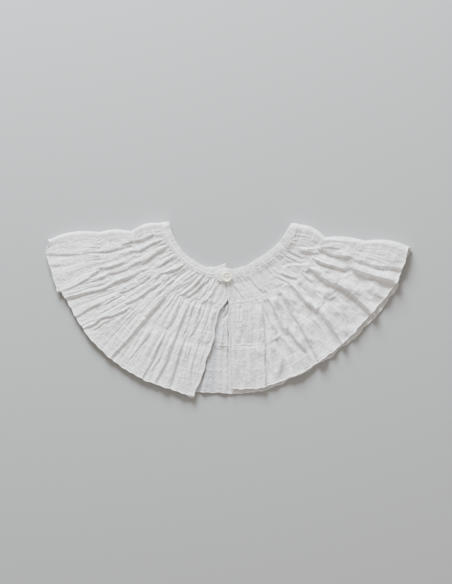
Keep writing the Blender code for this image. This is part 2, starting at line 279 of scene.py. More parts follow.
def seam_gathers(level, pitch, seed):
    """Gathers at an uneven pitch along a seam."""
    dice = np.random.RandomState(seed)
    ribs = LEFT[::-1] + LEFT[1:-1] + [CENTRE_BACK] + RIGHT[-2::-1] + RIGHT[1:]
    line = np.array([getattr(rib, level) for rib in ribs])
    lengths = lengths_along(line)
    count = int(lengths[-1] / pitch)
    places = (np.arange(count) + 0.5 + dice.uniform(-0.42, 0.42, count)) * lengths[-1] / count
    sizes = 0.45 + dice.uniform(0.0, 1.0, count) ** 1.6 * 0.85
    return Gathers(np.interp(places, lengths, np.arange(len(ribs))), sizes, lengths)


def seam_bumps(lay, gathers, half):
    """The height of the gathers right on a seam, the same for the strips on both its sides."""
    ribs = np.arange(len(gathers.lengths))
    here = np.interp(lay.rib, ribs, gathers.lengths)[:, None]
    centre = np.interp(gathers.rib, ribs, gathers.lengths)[None, :]
    bumps = gathers.size * (1 - ((here - centre) / (half * gathers.size ** 0.6)) ** 2)
    return np.maximum(bumps.max(axis=1), 0.0)[:, None]


def packed(lay, gathers, width, tall, sway, seed, slant=((0, RIGHT_EDGE), (0, 0))):
    """Rounded gathers side by side that meet in sharp valleys; width and tall vary down the strip."""
    dice = np.random.RandomState(seed)
    relief = np.zeros(lay.point.shape[:2])
    width = np.interp(lay.part, *width)
    tall = np.interp(lay.part, *tall)
    for rib, size in zip(gathers.rib, gathers.size):
        place = np.interp(rib, lay.rib, lay.along)
        lean = dice.uniform(-0.4, 0.4)
        bend = dice.uniform(-1.0, 1.0) * sway * lay.part ** 2
        bend = bend + np.interp(rib, *slant) * lay.part
        swell = 1 + 0.3 * np.sin(lay.part * dice.uniform(2.0, 9.0) + dice.uniform(0.0, 6.28))
        near = np.abs(lay.along - place) < np.abs(bend).max() + width.max() * 2.4
        offset = lay.along[near][:, None] - place - bend
        half = width * size ** 0.6 * np.where(offset < 0.0, 1 - lean, 1 + lean)
        relief[near] = np.maximum(relief[near], tall * size * swell * (1 - (offset / half) ** 2))
    return relief


def crumple(lay, seed, across, down, height):
    """Soft creases left by wear: smooth noise, long down the strip and short across it."""
    dice = np.random.RandomState(seed)
    relief = np.zeros(lay.point.shape[:2])
    depth = np.linalg.norm(lay.point[0, -1] - lay.point[0, 0])
    for octave in range(3):
        pitch, run = across / 1.9 ** octave, down / 1.6 ** octave
        table = dice.uniform(-1.0, 1.0, (int(lay.along[-1] / pitch) + 4, int(depth * 1.2 / run) + 4))
        y = (lay.part + 0.1) * depth / run
        x = lay.along[:, None] / pitch + 0.35 * np.sin(y * 2.0 + lay.along[:, None] / 31.0)
        x = np.maximum(x + 1.0, 0.0)
        ix, iy = x.astype(int), np.broadcast_to(y.astype(int), x.shape)
        fx, fy = smooth(x - ix), smooth(y - iy)
        near = table[ix, iy] * (1 - fx) + table[ix + 1, iy] * fx
        far = table[ix, iy + 1] * (1 - fx) + table[ix + 1, iy + 1] * fx
        relief += (near * (1 - fy) + far * fy) * height / 1.8 ** octave
    return relief


def fine_pleats(lay, seed, pitch, height):
    """Hair-fine pressed lines that run down the strip, side by side."""
    dice = np.random.RandomState(seed)
    knots = np.arange(0.0, lay.along[-1] + pitch, pitch * 0.5)
    relief = np.zeros(lay.point.shape[:2])
    for start in (0.0, 0.3, 0.6, 0.9):
        values = np.interp(lay.along, knots, dice.uniform(-1.0, 1.0, len(knots)))
        fade = np.interp(lay.along, knots[::9], dice.uniform(0.1, 1.0, len(knots[::9])))
        run = np.exp(-((lay.part[None, :] - start) / 0.28) ** 2)
        relief += values[:, None] * fade[:, None] * run * height
    return relief


class Crease(NamedTuple):
    """A main fold, placed one by one."""

    path: tuple             # plan points along it, in millimetres
    depth: float            # a trough below zero, a ridge above
    width: float            # half its width


class Pleat(NamedTuple):
    """A flat fold; the cloth on the right of its path lies over the cloth on the left."""

    path: tuple
    lap: tuple              # how deep it laps at the start, middle and end of the path
    rise: float
    reach: float            # how far the cloth on each side is drawn in


class Fold(NamedTuple):
    """A soft fold placed one by one: a rolled crest left of its path, and a trough on the right."""

    path: tuple             # plan points along it, in millimetres
    crest: float            # the crest's height
    reach: float            # how far the crest slopes away
    trough: float           # the trough's depth
    width: float            # how far the trough slopes away


def distance_to(path, x, y):
    """Signed distance from a path, left of it above zero, and the part of its length there."""
    path = np.array(path)
    steps = np.diff(path, axis=0)
    lengths = np.linalg.norm(steps, axis=1)
    before = lengths_along(path)
    best = np.full(x.shape, 1e9)
    signed, along = np.zeros(x.shape), np.zeros(x.shape)
    for start, step, length, done in zip(path, steps, lengths, before):
        dx, dy = x - start[0], y - start[1]
        t = np.clip((dx * step[0] + dy * step[1]) / length ** 2, 0.0, 1.0)
        gap = np.hypot(dx - step[0] * t, dy - step[1] * t)
        side = np.where(step[0] * dy - step[1] * dx < 0.0, -1.0, 1.0)
        closer = gap < best
        best = np.where(closer, gap, best)
        signed = np.where(closer, gap * side, signed)
        along = np.where(closer, (done + t * length) / before[-1], along)
    return signed, along


def by_path(path, reach, x, y):
    """Which points lie within reach of a smoothed path, with their distance and part of its length."""
    path = np.array(path)
    places = np.linspace(0.0, len(path) - 1.0, 3 * len(path) - 2)
    path = curve(path[:, None], places[:, None])[:, 0]
    low, high = path.min(axis=0) - reach, path.max(axis=0) + reach
    near = (x > low[0]) & (x < high[0]) & (y > low[1]) & (y < high[1])
    return near, *distance_to(path, x[near], y[near])


def faded_ends(along, run):
    """1 along a path, falling to 0 over a part of its length at each end."""
    return smooth(along / run) * smooth((1 - along) / run)


def crease_relief(creases, x, y):
    """The height that troughs and ridges add."""
    relief = np.zeros(x.shape)
    for crease in creases:
        near, signed, along = by_path(crease.path, crease.width * 5.0, x, y)
        taper = faded_ends(along, 0.2)
        width = crease.width * (0.6 + 0.4 * taper)
        body = np.exp(-np.abs(signed / width) ** 1.6)
        bank = 0.4 * np.exp(-((np.abs(signed) - 2.0 * width) / width) ** 2)
        relief[near] += crease.depth * (body - bank) * taper
    return relief


FOLD_BANK = 0.52            # half the run of the bank from crest to trough, against the trough's width


def fold_relief(folds, x, y):
    """The height that rolled folds add: a step down from the crest, and slopes away on both sides."""
    relief = np.zeros(x.shape)
    for fold in folds:
        near, signed, along = by_path(fold.path, max(fold.reach, fold.width) * 3.5, x, y)
        taper = faded_ends(along, 0.22)
        bank = FOLD_BANK * fold.width + 0.3
        step = smooth(0.5 + (signed + 0.4 * bank) / (2 * bank))
        crest = fold.crest * np.exp(-(np.maximum(signed, 0.0) / (1.2 * fold.reach)) ** 1.5)
        past_bank = np.maximum(-signed - bank, 0.0)
        trough = fold.trough * np.exp(-(past_bank / (1.5 * fold.width)) ** 1.5)
        relief[near] += (crest * step - trough * (1 - step)) * taper
    return relief


def lap_pleats(point, pleats):
    """Fold the cloth over itself along each pleat."""
    for pleat in pleats:
        signed, along = distance_to(pleat.path, point[..., 0], point[..., 1])
        lap = np.interp(along, (0.0, 0.5, 1.0), pleat.lap)
        share = lap / max(pleat.lap)
        turn = np.maximum(1.3 * share, 1e-6)
        over = turn * np.exp(-((signed + turn) / pleat.reach) ** 2)
        between = -lap * (signed + turn) / (2 * turn) - signed
        under = -(turn + lap) * np.exp(-((signed - turn) / pleat.reach) ** 2)
        shift = np.where(signed < -turn, over, np.where(signed <= turn, between, under))
        high = pleat.rise * np.exp(-((signed + turn) / 9.0) ** 2)
        middle = pleat.rise * (turn - signed) / (2 * turn)
        low = -0.5 * (1 - np.exp(-((signed - turn) / 3.0) ** 2)) * np.exp(-((signed - turn) / 9.0) ** 2)
        lift = np.where(signed < -turn, high, np.where(signed <= turn, middle, low)) * share
        run = np.array(pleat.path[-1]) - np.array(pleat.path[0])
        run = run / np.linalg.norm(run)
        point = point + np.stack((-run[1] * shift, run[0] * shift, lift), axis=-1)
    return point


FRONT_FOLDS = [
    # left front, from its fold down to its front edge
    Fold(((-214, 61.5), (-200.5, 61.5), (-190.5, 61.5), (-180.5, 61), (-168.5, 61.5), (-154, 62.5),
          (-144.5, 64)), 0.4, 4.0, 0.9, 2.6),
    Fold(((-150, 63.5), (-136.5, 64), (-124.5, 65.5), (-115.5, 67.5), (-107, 69.5)), 0.5, 2.5, 1.2, 1.5),
    Fold(((-214, 51.5), (-200.5, 51), (-183, 50.5), (-169.5, 52), (-161, 54)), 0.3, 3.0, 0.6, 1.6),
    Fold(((-121, 70.5), (-112.5, 73), (-104.5, 75), (-97, 76.5), (-90.5, 79), (-84, 82),
          (-76, 85.5)), 1.0, 2.5, 1.6, 2.2),
    Fold(((-104.5, 62.5), (-99, 64.5), (-93.5, 66.5), (-89.5, 69), (-85, 72), (-79.5, 74.5),
          (-69.5, 78)), 0.9, 2.0, 1.5, 1.9),
    Fold(((-79.5, 70), (-73, 72), (-66, 72.5)), 0.4, 1.0, 0.7, 0.9),
    Fold(((-103.5, 49.5), (-96, 51.5), (-90.5, 54), (-86, 58), (-80.5, 61.5), (-74, 64.5),
          (-66, 66.5)), 0.9, 2.2, 1.7, 2.6),
    Fold(((-79.5, 47), (-75, 48.5), (-70.5, 51.5), (-65, 55), (-55, 58.5)), 0.7, 2.4, 1.3, 1.7),
    Fold(((-63, 51.5), (-59.5, 54), (-55, 57)), 0.3, 1.0, 0.8, 0.9),
    Fold(((-208, 29.5), (-196, 29.5), (-185, 29.5), (-174, 30.5), (-163, 34), (-154, 37.5), (-146.5, 42),
          (-140, 46), (-132, 47), (-124.5, 49), (-117, 51), (-110, 54), (-106, 58),
          (-101.5, 63)), 1.0, 2.6, 1.7, 2.6),
    Fold(((-183, 15), (-170.5, 18.5), (-163, 20.5), (-155.5, 23.5), (-147.5, 26), (-139, 27.5),
          (-131, 30.5)), 0.4, 1.6, 0.7, 1.0),
    Fold(((-195, 6), (-185, 10), (-176, 13), (-168.5, 15), (-158.5, 18), (-150, 20), (-141, 22), (-134.5, 25),
          (-129, 28), (-123.5, 30.5), (-118, 33), (-110, 35), (-103.5, 38), (-98, 41.5),
          (-90.5, 46)), 1.1, 2.4, 2.0, 3.0),
    Fold(((-134.5, 38.5), (-125.5, 40.5), (-118, 43), (-110, 46), (-103.5, 49.5),
          (-96, 51.5)), 0.8, 2.2, 1.4, 1.8),
    Fold(((-182, -14), (-172, -9.5), (-162, -4.5), (-156.5, -1), (-150, 3), (-143, 6),
          (-136.5, 9)), 1.0, 5.0, 1.3, 1.5),
    Fold(((-139, 3.5), (-131, 8.5), (-125.5, 12.5), (-120, 15), (-114.5, 18.5)), 0.6, 1.8, 1.1, 1.2),
    Fold(((-125.5, 19), (-114.5, 20), (-108, 22.5), (-101.5, 25.5), (-95, 30), (-88, 34.5),
          (-82.5, 39)), 0.9, 3.0, 1.3, 1.4),
    Fold(((-115.5, 6.5), (-107, 9), (-101.5, 11.5), (-96, 15), (-90.5, 19.5), (-86, 22.5), (-80.5, 25.5),
          (-75, 30)), 1.0, 3.0, 1.7, 2.0),
    Fold(((-82.5, 28.5), (-78.5, 35.5), (-75, 39.5), (-68.5, 41.5), (-62, 43), (-55, 46),
          (-48.5, 50.5)), 1.0, 2.4, 1.6, 2.0),
    Fold(((-173, -23.5), (-164, -19), (-155.5, -14), (-150, -12), (-143, -10)), 0.6, 2.0, 1.0, 1.3),
    Fold(((-171, -25), (-161, -21), (-152, -17.5), (-146.5, -15), (-142, -11), (-136.5, -8), (-129, -7.5),
          (-122.5, -4.5), (-115.5, -1.5), (-109, 1.5), (-101.5, 7)), 0.9, 2.2, 1.5, 1.5),
    Fold(((-152, -23.5), (-143, -19), (-137.5, -14.5), (-132, -12), (-125.5, -8)), 0.7, 1.8, 1.1, 1.2),
    Fold(((-139, -66), (-132, -57.5), (-126.5, -49.5), (-119, -41.5), (-111.5, -34), (-104.5, -25.5),
          (-97, -16.5), (-90.5, -9), (-85, -2.5), (-78.5, 4.5), (-73, 11.5), (-68.5, 18),
          (-64, 24)), 1.2, 4.0, 2.5, 3.6),
    Fold(((-112.5, -58.5), (-102.5, -46.5), (-96, -38), (-89.5, -31), (-82.5, -23.5)), 0.5, 2.5, 0.9, 1.7),
    Fold(((-103, -87), (-98, -79.5), (-93.5, -73), (-89.5, -66), (-85, -58.5), (-81.5, -52), (-78.5, -43),
          (-74, -34.5), (-69.5, -26.5)), 0.9, 3.0, 1.5, 1.9),
    Fold(((-86, -69.5), (-79.5, -59), (-73, -50.5)), 0.5, 1.6, 0.9, 1.2),
    Fold(((-86, -92), (-81.5, -82.5), (-77, -74), (-73, -66), (-68.5, -57.5), (-66, -49.5), (-64, -43),
          (-60.5, -35.5), (-57.5, -28.5), (-54, -19), (-51, -10), (-47.5, -1.5), (-44, 6.5),
          (-41, 13)), 1.1, 2.8, 1.7, 1.7),
    Fold(((-70.5, -23.5), (-64, -15), (-59.5, -7), (-56.5, 1), (-54, 9.5),
          (-52, 16.5)), 1.1, 2.6, 1.6, 2.2),
    Fold(((-53, -34.5), (-47.5, -23.5), (-43, -12.5), (-41, -2.5), (-38.5, 7.5)), 0.4, 1.2, 0.7, 1.1),
    Fold(((-45.5, -33), (-38.5, -24.5), (-34.5, -16.5), (-31, -9)), 0.5, 1.6, 1.1, 1.4),
    Fold(((-35.5, -26.5), (-34, -13.5), (-32, 5.5)), 0.3, 1.6, 0.9, 2.0),
    Fold(((-27.5, -33), (-23.5, -20), (-21.5, -9), (-21.5, 1)), 0.6, 1.8, 1.1, 1.2),
    Fold(((-55, 15.5), (-48.5, 18.5), (-42, 23), (-37, 27.5), (-33, 32), (-30, 37)), 1.0, 2.0, 1.7, 1.6),
    Fold(((-48.5, 11.5), (-40, 17.5), (-34.5, 22.5), (-29, 28), (-21, 34)), 0.9, 1.6, 1.6, 1.6),
    Fold(((-59.5, 21), (-53, 24.5), (-48.5, 28), (-43, 31.5)), 0.4, 1.4, 0.9, 1.0),
    Fold(((-70.5, 25), (-63, 31), (-56.5, 36.5), (-51, 41), (-44, 45)), 0.8, 1.5, 1.1, 1.1),
    Fold(((-33, 6), (-25.5, 9.5), (-21, 14), (-16.5, 20.5), (-13.5, 28.5)), 0.6, 1.6, 1.3, 1.8),
    Fold(((-29, 14.5), (-22, 22), (-16.5, 26.5)), 0.4, 0.9, 0.8, 0.8),
    Fold(((-49.5, -90.5), (-46.5, -68.5), (-44, -51), (-43, -38.5)), 0.3, 1.2, 0.7, 1.2),
    Fold(((-42, -90.5), (-40.5, -68.5), (-38.5, -51), (-37.5, -38.5)), 0.4, 1.2, 0.9, 1.1),
    Fold(((-66, -90.5), (-60.5, -71.5), (-55, -53), (-52, -37.5)), 0.3, 1.6, 0.7, 1.4),
    # right front, from its fold down to its front edge
    Fold(((101, 69), (91, 67.5), (84.5, 67), (77, 69)), 1.2, 2.7, 0.6, 1.2),
    Fold(((77, 65), (85.5, 63.5), (93.5, 62.5), (101, 63)), 0.8, 2.7, 1.5, 2.5),
    Fold(((63.5, 66.5), (71.5, 62.5), (77, 59.5), (86.5, 55.5)), 0.5, 1.8, 1.3, 1.2),
    Fold(((59, 61), (68, 57), (75.5, 53.5), (85.5, 50.5)), 0.5, 1.8, 1.0, 1.2),
    Fold(((92, 51.5), (84.5, 50), (75.5, 50), (68, 49.5), (62.5, 47.5), (58, 44)), 1.0, 2.4, 1.2, 1.6),
    Fold(((55, 41), (63.5, 38), (69, 36), (78, 34)), 1.3, 3.2, 1.1, 1.4),
    Fold(((51.5, 37.5), (58, 34), (64.5, 31), (70, 28)), 0.7, 1.8, 0.9, 1.2),
    Fold(((22, 37.5), (26, 32), (30.5, 26.5), (35, 22), (40.5, 17)), 0.6, 2.7, 1.1, 1.6),
    Fold(((4, 29.5), (8, 25), (12.5, 19), (16.5, 14), (20.5, 7.5)), 0.7, 1.9, 0.9, 1.4),
    Fold(((42.5, 15), (47, 7), (51.5, -2.5), (56.5, -12.5), (60.5, -20.5),
          (66.5, -29)), 2.4, 5.5, 2.1, 2.7),
    Fold(((53, 22), (58, 14), (63.5, 5.5), (68, -2.5), (72.5, -8.5), (77, -14), (79, -18), (83, -25.5),
          (87, -33), (91.5, -41), (96, -49.5), (101, -60.5),
          (107, -72), (113, -83)), 2.9, 8.2, 2.9, 2.7),
    Fold(((67, 31.5), (72.5, 23.5), (78, 16.5), (84, 10), (90, 5.5), (95.5, 0.5),
          (102, -4)), 2.7, 4.7, 3.7, 3.2),
    Fold(((78, 32), (82.5, 25.5), (88, 19), (94.5, 12.5), (101, 6.5)), 0.8, 2.4, 1.2, 2.0),
    Fold(((86, 48.5), (91, 43), (96.5, 39), (103, 34.5), (110, 31), (116.5, 28), (123, 25.5),
          (130.5, 20.5), (138, 14.5), (145, 8), (152.5, 0.5), (160.5, -8),
          (171, -18), (181, -28)), 3.4, 8.2, 3.8, 3.4),
    Fold(((91, 58.5), (99, 53.5), (106.5, 50), (115.5, 47.5), (125, 45.5), (136, 44)), 1.7, 4.1, 2.5, 2.5),
    Fold(((97.5, 67.5), (106.5, 64), (114, 60.5), (125, 59), (134, 58), (141.5, 55.5)), 1.4, 4.1, 2.4, 2.3),
    Fold(((39.5, -38.5), (39.5, -22), (39, -9), (36.5, 7.5)), 1.7, 3.0, 1.8, 1.4),
    Fold(((66, -20), (70, -27), (74.5, -34), (79, -38.5), (85.5, -47.5)), 2.4, 5.5, 2.5, 3.6),
    Fold(((99, 4.5), (104.5, -4.5), (109, -12.5), (114, -20), (118.5, -26.5), (123.5, -34.5),
          (129.5, -44), (137, -56), (144, -68)), 3.4, 9.2, 4.4, 4.5),
    Fold(((136, 57.5), (146, 53), (156, 49.5), (167, 47.5), (180, 46.5), (193.5, 44),
          (207, 42)), 1.4, 6.1, 2.7, 3.9),
    Fold(((129.5, 50), (138.5, 45), (146, 41), (156, 38), (167, 35), (178, 31.5),
          (189, 26), (200, 21), (212, 15)), 2.9, 7.3, 3.5, 4.2),
    Fold(((41.2, -98), (40.9, -84), (41.4, -70), (39.8, -56), (40.6, -42), (39.6, -30),
          (39.2, -18)), 1.8, 5.0, 2.2, 1.3),
]
FRONT_CREASES = [
    # left front
    Crease(((-141, 39), (-134, 43.5)), -1.2, 1.6),
    Crease(((-97, -16.5), (-90, -8), (-83, 1)), 0.7, 4.0),
    Crease(((-150, 16), (-134, 22), (-118, 29)), 0.4, 3.0),
    Crease(((-160, 62), (-152, 69), (-146, 73)), 0.5, 4.0),
    # right front
    Crease(((83.5, 37.5), (86, 33), (90.5, 29.5), (97, 28), (105, 25.5), (114, 25)), -1.5, 2.4),
    Crease(((58, 10.5), (61, 7), (64, 3)), -1.1, 2.4),
    Crease(((16.5, 7.5), (17.5, -2.5), (18.5, -11), (19.5, -22)), 0.9, 1.6),
    Crease(((8.6, 6), (9.2, -4), (8.8, -14)), -0.9, 1.1),
    Crease(((13.0, 5), (13.6, -5), (13.2, -13)), -0.9, 1.1),
    Crease(((6.5, -14.5), (12, -15), (17, -14.5)), -0.5, 1.4),
    Crease(((38, 15), (45, 2), (52, -12), (60, -27), (70, -30)), -1.2, 2.2),
    Crease(((34, 10), (40, -4), (47, -17), (53, -29)), -1.0, 1.8),
    Crease(((66, -10), (73, -22), (79, -37)), -1.1, 2.0),
    Crease(((60, -36), (66, -50), (70, -66)), -0.9, 2.6),
    Crease(((52, -38), (56, -54), (58, -70)), 0.9, 3.0),
    Crease(((88, -8), (96, -24), (106, -44), (116, -60)), -1.7, 3.4),
    Crease(((112, 2), (122, -14), (134, -34), (142, -46)), -1.4, 4.0),
    Crease(((150, 22), (162, 8), (172, -6)), -1.4, 4.0),
    Crease(((98, 31), (111, 25), (124, 23), (136, 20)), 2.1, 8.0),
    Crease(((78, 9), (89, 6), (101, 1)), 1.7, 6.5),
    Crease(((20, -47), (32, -46), (44, -48)), 1.1, 6.0),
    Crease(((64, -32), (76, -36), (88, -40)), 1.1, 6.0),
    Crease(((160, 40), (172, 37), (184, 33)), 1.3, 5.0),
    Crease(((31.5, 7.5), (34, -5.5), (34.5, -22), (34, -36)), 1.4, 2.6),
    Crease(((38.5, 7.5), (42.5, -2.5), (47, -12.5), (51.5, -23), (54, -31)), 1.3, 1.8),
    Crease(((54.2, 18.5), (58.1, 13), (62.5, 5.3), (66.5, -4)), -1.7, 2.6),
    Crease(((82, 6), (89, -8), (97, -24), (101, -33)), -2.0, 7.0),
    Crease(((71.5, -8), (74.6, -20)), 1.0, 2.2),
    Crease(((59, -16.5), (64, -24)), -1.2, 1.2),
    Crease(((39, 24.5), (44, 19)), 1.0, 1.4),
    Crease(((49, -22), (54, -34)), 1.0, 2.6),
    Crease(((69, 5), (75, -6), (80, -14)), 1.3, 3.4),
    Crease(((120, 10), (128, -2), (138, -14)), 1.4, 7.0),
    Crease(((46, 38), (52, 32), (57, 25)), 1.1, 5.0),
    Crease(((9.5, -40), (9.5, -58)), -0.5, 1.6),
    Crease(((14.5, -57.5), (14, -70), (13.5, -88)), -0.6, 2.6),
    Crease(((24, -44), (25, -60), (24, -86)), 0.6, 4.0),
    Crease(((42, -55), (43.5, -64), (47, -75)), -1.0, 3.0),
    Crease(((69, -38.5), (71.5, -50), (73, -61.5), (75, -74)), -0.5, 1.3),
    Crease(((76, -44), (79, -57.5), (82, -68.5)), -0.4, 1.2),
    Crease(((134, 16.5), (131, 5.5), (128.5, -9)), -0.7, 5.0),
    Crease(((147, 29.5), (158, 12)), -0.7, 4.0),
    Crease(((128, 34), (138, 26), (149, 15)), 1.7, 5.5),
    Crease(((3.2, 24), (3.4, 0), (4.2, -30), (4.4, -60), (5.4, -88)), -0.5, 1.1),
    Crease(((22, -16), (23, -28), (22, -37)), 0.8, 3.0),
    Crease(((10, -24), (11, -36)), 0.7, 2.6),
    Crease(((12, -39.5), (20, -39.8), (31, -40)), -0.7, 0.9),
    Crease(((136, 38.5), (140.5, 25)), 1.0, 4.0),
    Crease(((187, 60.5), (188, 49.5)), -0.5, 3.0),
    Crease(((115.5, 29.5), (111, 24)), 0.9, 1.2),
    Crease(((123, 21.5), (116.5, 15), (110, 11.5)), 0.9, 1.2),
    Crease(((103, 13), (104, 5)), 0.8, 1.4),
    Crease(((112, 78), (127, 77.3), (143, 75.5)), -1.2, 1.0),
]
# The back's folds are of the same kind; what is a trough from outside is a ridge in the slit.
BACK_FOLDS = [
    fold._replace(path=tuple((-x, y) for x, y in fold.path[::-1]))
    for fold in FRONT_FOLDS
    if abs(fold.path[0][0]) > 50.0
]
# What shows of the back between the front edges.
SLIT_MIDDLE = ((0.0, 30.0), (-0.5, 6.0), (-3.0, -10.0), (-9.0, -36.0), (-14.0, -62.0), (-20.5, -96.0))
SLIT_HALF = (0.5, 1.5, 5.0, 10.0, 15.5, 21.0)
SLIT_SIDE = 3.0             # over how much it fades at its sides
SLIT_RISE = 0.9             # how far the back rises there between its folds
SLIT_RISE_MOST = 3.4
SLIT_FOLDS = [
    Fold(((3.0, 4.0), (0.9, -2.4), (-3.5, -10.5), (-6.8, -17.8), (-8.6, -25), (-9.6, -33.2), (-10.6, -50),
          (-11.2, -66.2), (-11.8, -86), (-11.8, -98)), 2.0, 7.0, 1.3, 3.4),
    Fold(((-0.5, 12), (-2.5, 4), (-6.0, -6), (-11.5, -14.5), (-16.5, -20)), 2.4, 1.5, 1.6, 1.5),
    Fold(((-21.5, -45), (-23.6, -56), (-25.5, -70), (-28.4, -86), (-29.5, -97)), 1.3, 5.0, 1.6, 2.2),
]
SLIT_CREASES = [
    Crease(((-3.5, -16), (-4.5, -40), (-5.5, -66), (-5.5, -92)), -0.7, 1.8),
    Crease(((-16, -50), (-17, -68), (-18, -92)), 0.5, 2.2),
    Crease(((-22, -40.5), (-12, -39.5), (-1, -39.5)), 0.4, 1.0),
    Crease(((-19, -37), (-14, -36.2), (-9, -36.6)), -0.6, 0.8),
    Crease(((-5, 5), (-5.4, 0), (-5, -6)), -2.6, 1.5),
    Crease(((-6.5, -7), (-9, -12), (-13, -17.5)), -2.8, 1.8),
    Crease(((-3, -2), (-5.5, -8)), 1.6, 1.2),
]
FRONT_PLEATS = [
    Pleat(((-192, 27), (-183.8, 27.3), (-170.6, 28.2), (-163.2, 30.0), (-157.9, 32.2), (-152.4, 35.0),
           (-145.1, 37.7), (-139.6, 40.5)), (9.0, 4.5, 0.0), 1.3, 17.0),
]


def slit_place(x, y):
    """How far points lie from the slit's middle, and half its width there."""
    path = np.array(SLIT_MIDDLE)
    middle = np.interp(y, path[::-1, 1], path[::-1, 0])
    half = np.interp(y, path[::-1, 1], SLIT_HALF[::-1])
    return np.abs(x - middle), half


def slit_lift(x, y):
    """How far the back's folds stand up into the open slit between the front edges."""
    away, half = slit_place(x, y)
    folds = fold_relief(SLIT_FOLDS, x, y) + crease_relief(SLIT_CREASES, x, y)
    return np.clip(SLIT_RISE + folds, 0.0, SLIT_RISE_MOST) * smooth((half - away) / SLIT_SIDE)


def slit_painted_shade(x, y):
    """Painted shade: 1 where one layer of the thin voile shows in the slit, less where its fold doubles it;
    the cloth's colour is greyed there as if a darker ground showed through.
    """
    away, half = slit_place(x, y)
    within = smooth((half + SLIT_SIDE - away) / SLIT_SIDE)
    doubled = np.array(SLIT_FOLDS[0].path)
    by_fold = x - np.interp(y, doubled[::-1, 1], doubled[::-1, 0])
    return within * (1.0 - 0.8 * smooth(by_fold / 2.0 + 0.5))


FRONT_CLEAR = 3.0           # the fronts' outer faces stay over this height, clear of the back
CLEAR_TURN = 2.5            # how sharply that limit takes hold
BACK_RISE = 1.7             # how far the back rises off the table between its folds
TUCK = 1.0                  # how far the row past a seam is sunk under it
FOLD_CALM = 9.0             # how far past a side fold the cloth is held calm
EDGE_WAVES = 9.0            # how far in from a front edge its waves reach


def on_left(lay):
    """Which columns of a strip lie left of the centre back."""
    return lay.rib < BACK_MIDDLE


def drape(lay, relief):
    """Add the relief to a resting surface: the fronts clear the back, and the back lies flat."""
    x, y = lay.point[..., 0], lay.point[..., 1]
    front = ~lay.is_back
    relief = relief.copy()
    relief[front] += fold_relief(FRONT_FOLDS, x[front], y[front])
    relief[front] += crease_relief(FRONT_CREASES, x[front], y[front])
    relief[~front] += fold_relief(BACK_FOLDS, x[~front], y[~front])
    calm = smooth(lay.past_fold / FOLD_CALM)
    edge = 0.3 + 0.7 * smooth(lay.to_edge / 6.0)
    over = relief * (0.25 + 0.75 * calm) * edge
    height = lay.point[..., 2] + over
    cleared = FRONT_CLEAR + np.logaddexp(0.0, (height - FRONT_CLEAR) * CLEAR_TURN) / CLEAR_TURN
    over = over + (cleared - height) * smooth(lay.outward[..., 2] * 1.5 - 0.5)
    under = -BACK_RISE * calm * (0.5 - 0.5 * np.tanh(relief * 0.9))
    under[~front] -= slit_lift(x[~front], y[~front])
    under = np.minimum(under, 0.0)
    amount = np.where(lay.is_back[:, None], under, over)
    tucked = np.where((lay.part < -0.001) | (lay.part > 1.001), TUCK, 0.0)
    tucked = tucked * np.where(lay.is_back, 0.05, 1.0)[:, None]
    point = lay.point + lay.outward * (amount - tucked)[..., None]
    left = on_left(lay)
    by_edge = (1 - smooth(lay.to_edge / EDGE_WAVES)) * np.where(left, 1.0, 0.6)[:, None]
    point[..., 0] += by_edge * (0.8 * np.sin(y / 6.1 + 0.6) + 0.45 * np.sin(y / 2.7))
    point[..., 0] += 2.2 * by_edge * left[:, None] * smooth((y - 4.0) / 8.0)
    point[front] = lap_pleats(point[front], FRONT_PLEATS)
    return point


def mesh_from(shape, name):
    """A mesh with a bmesh's shape, which is then freed."""
    mesh = bpy.data.meshes.new(name)
    shape.to_mesh(mesh)
    shape.free()
    return mesh


def add_to_scene(name, data):
    """An object in the scene."""
    made = bpy.data.objects.new(name, data)
    bpy.context.scene.collection.objects.link(made)
    return made


def cloth(name, points, lay, cut, wall, material):
    """A grid of cloth through the points, with its cut as the UV map, a wall inwards, and the slit's painted
    shade as a point attribute.
    """
    # painted shade: how far the back's colour is greyed where one layer shows in the slit
    slit_shade_share = np.where(lay.is_back[:, None], slit_painted_shade(points[..., 0], points[..., 1]), 0.0)
    columns, rows = points.shape[0] - 1, points.shape[1] - 1
    grid = bmesh.new()
    bmesh.ops.create_grid(grid, x_segments=columns, y_segments=rows, size=0.5)
    mesh = mesh_from(grid, name)
    flat = np.zeros(len(mesh.vertices) * 3)
    mesh.vertices.foreach_get("co", flat)
    flat = flat.reshape(-1, 3)
    column = np.rint((flat[:, 0] + 0.5) * columns).astype(int)
    row = np.rint((flat[:, 1] + 0.5) * rows).astype(int)
    mesh.vertices.foreach_set("co", ((points[column, row] - MIDDLE) * MM).ravel())
    # a point attribute that carries the slit's painted shade to the material
    slit_shade = mesh.attributes.new("slit_shade", "FLOAT", "POINT")
    slit_shade.data.foreach_set("value", slit_shade_share[column, row])
    corner = np.zeros(len(mesh.loops), dtype=int)
    mesh.loops.foreach_get("vertex_index", corner)
    u = lay.along / lay.along[-1] * cut[1]
    v = lay.part * cut[0]
    mapping = mesh.uv_layers.new(name="cut")
    mapping.uv.foreach_set("vector", np.stack((u[column[corner]], v[row[corner]]), axis=1).ravel())
    mesh.update()
    mesh.shade_smooth()
    mesh.materials.append(material)
    made = add_to_scene(name, mesh)
    shell = made.modifiers.new("wall", "SOLIDIFY")
    shell.thickness = wall * MM
    shell.offset = -1.0
    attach(made, "root")
    return made


def rows_down(depth, inner):
    """Rows down a strip, close together by its seams, with one tucked in past each seam."""
    near = np.array((0.0, 0.5, 1.1, 1.8, 2.7, 3.8))
    middle = np.linspace(3.8, depth - 3.8, inner + 2)[1:-1]
    return np.concatenate(([-1.0], near, middle, depth - near[::-1], [depth + 1.0])) / depth


def link(tree, *ends):
    """Join node sockets in pairs."""
    for start, end in zip(ends[::2], ends[1::2]):
        tree.links.new(start, end)


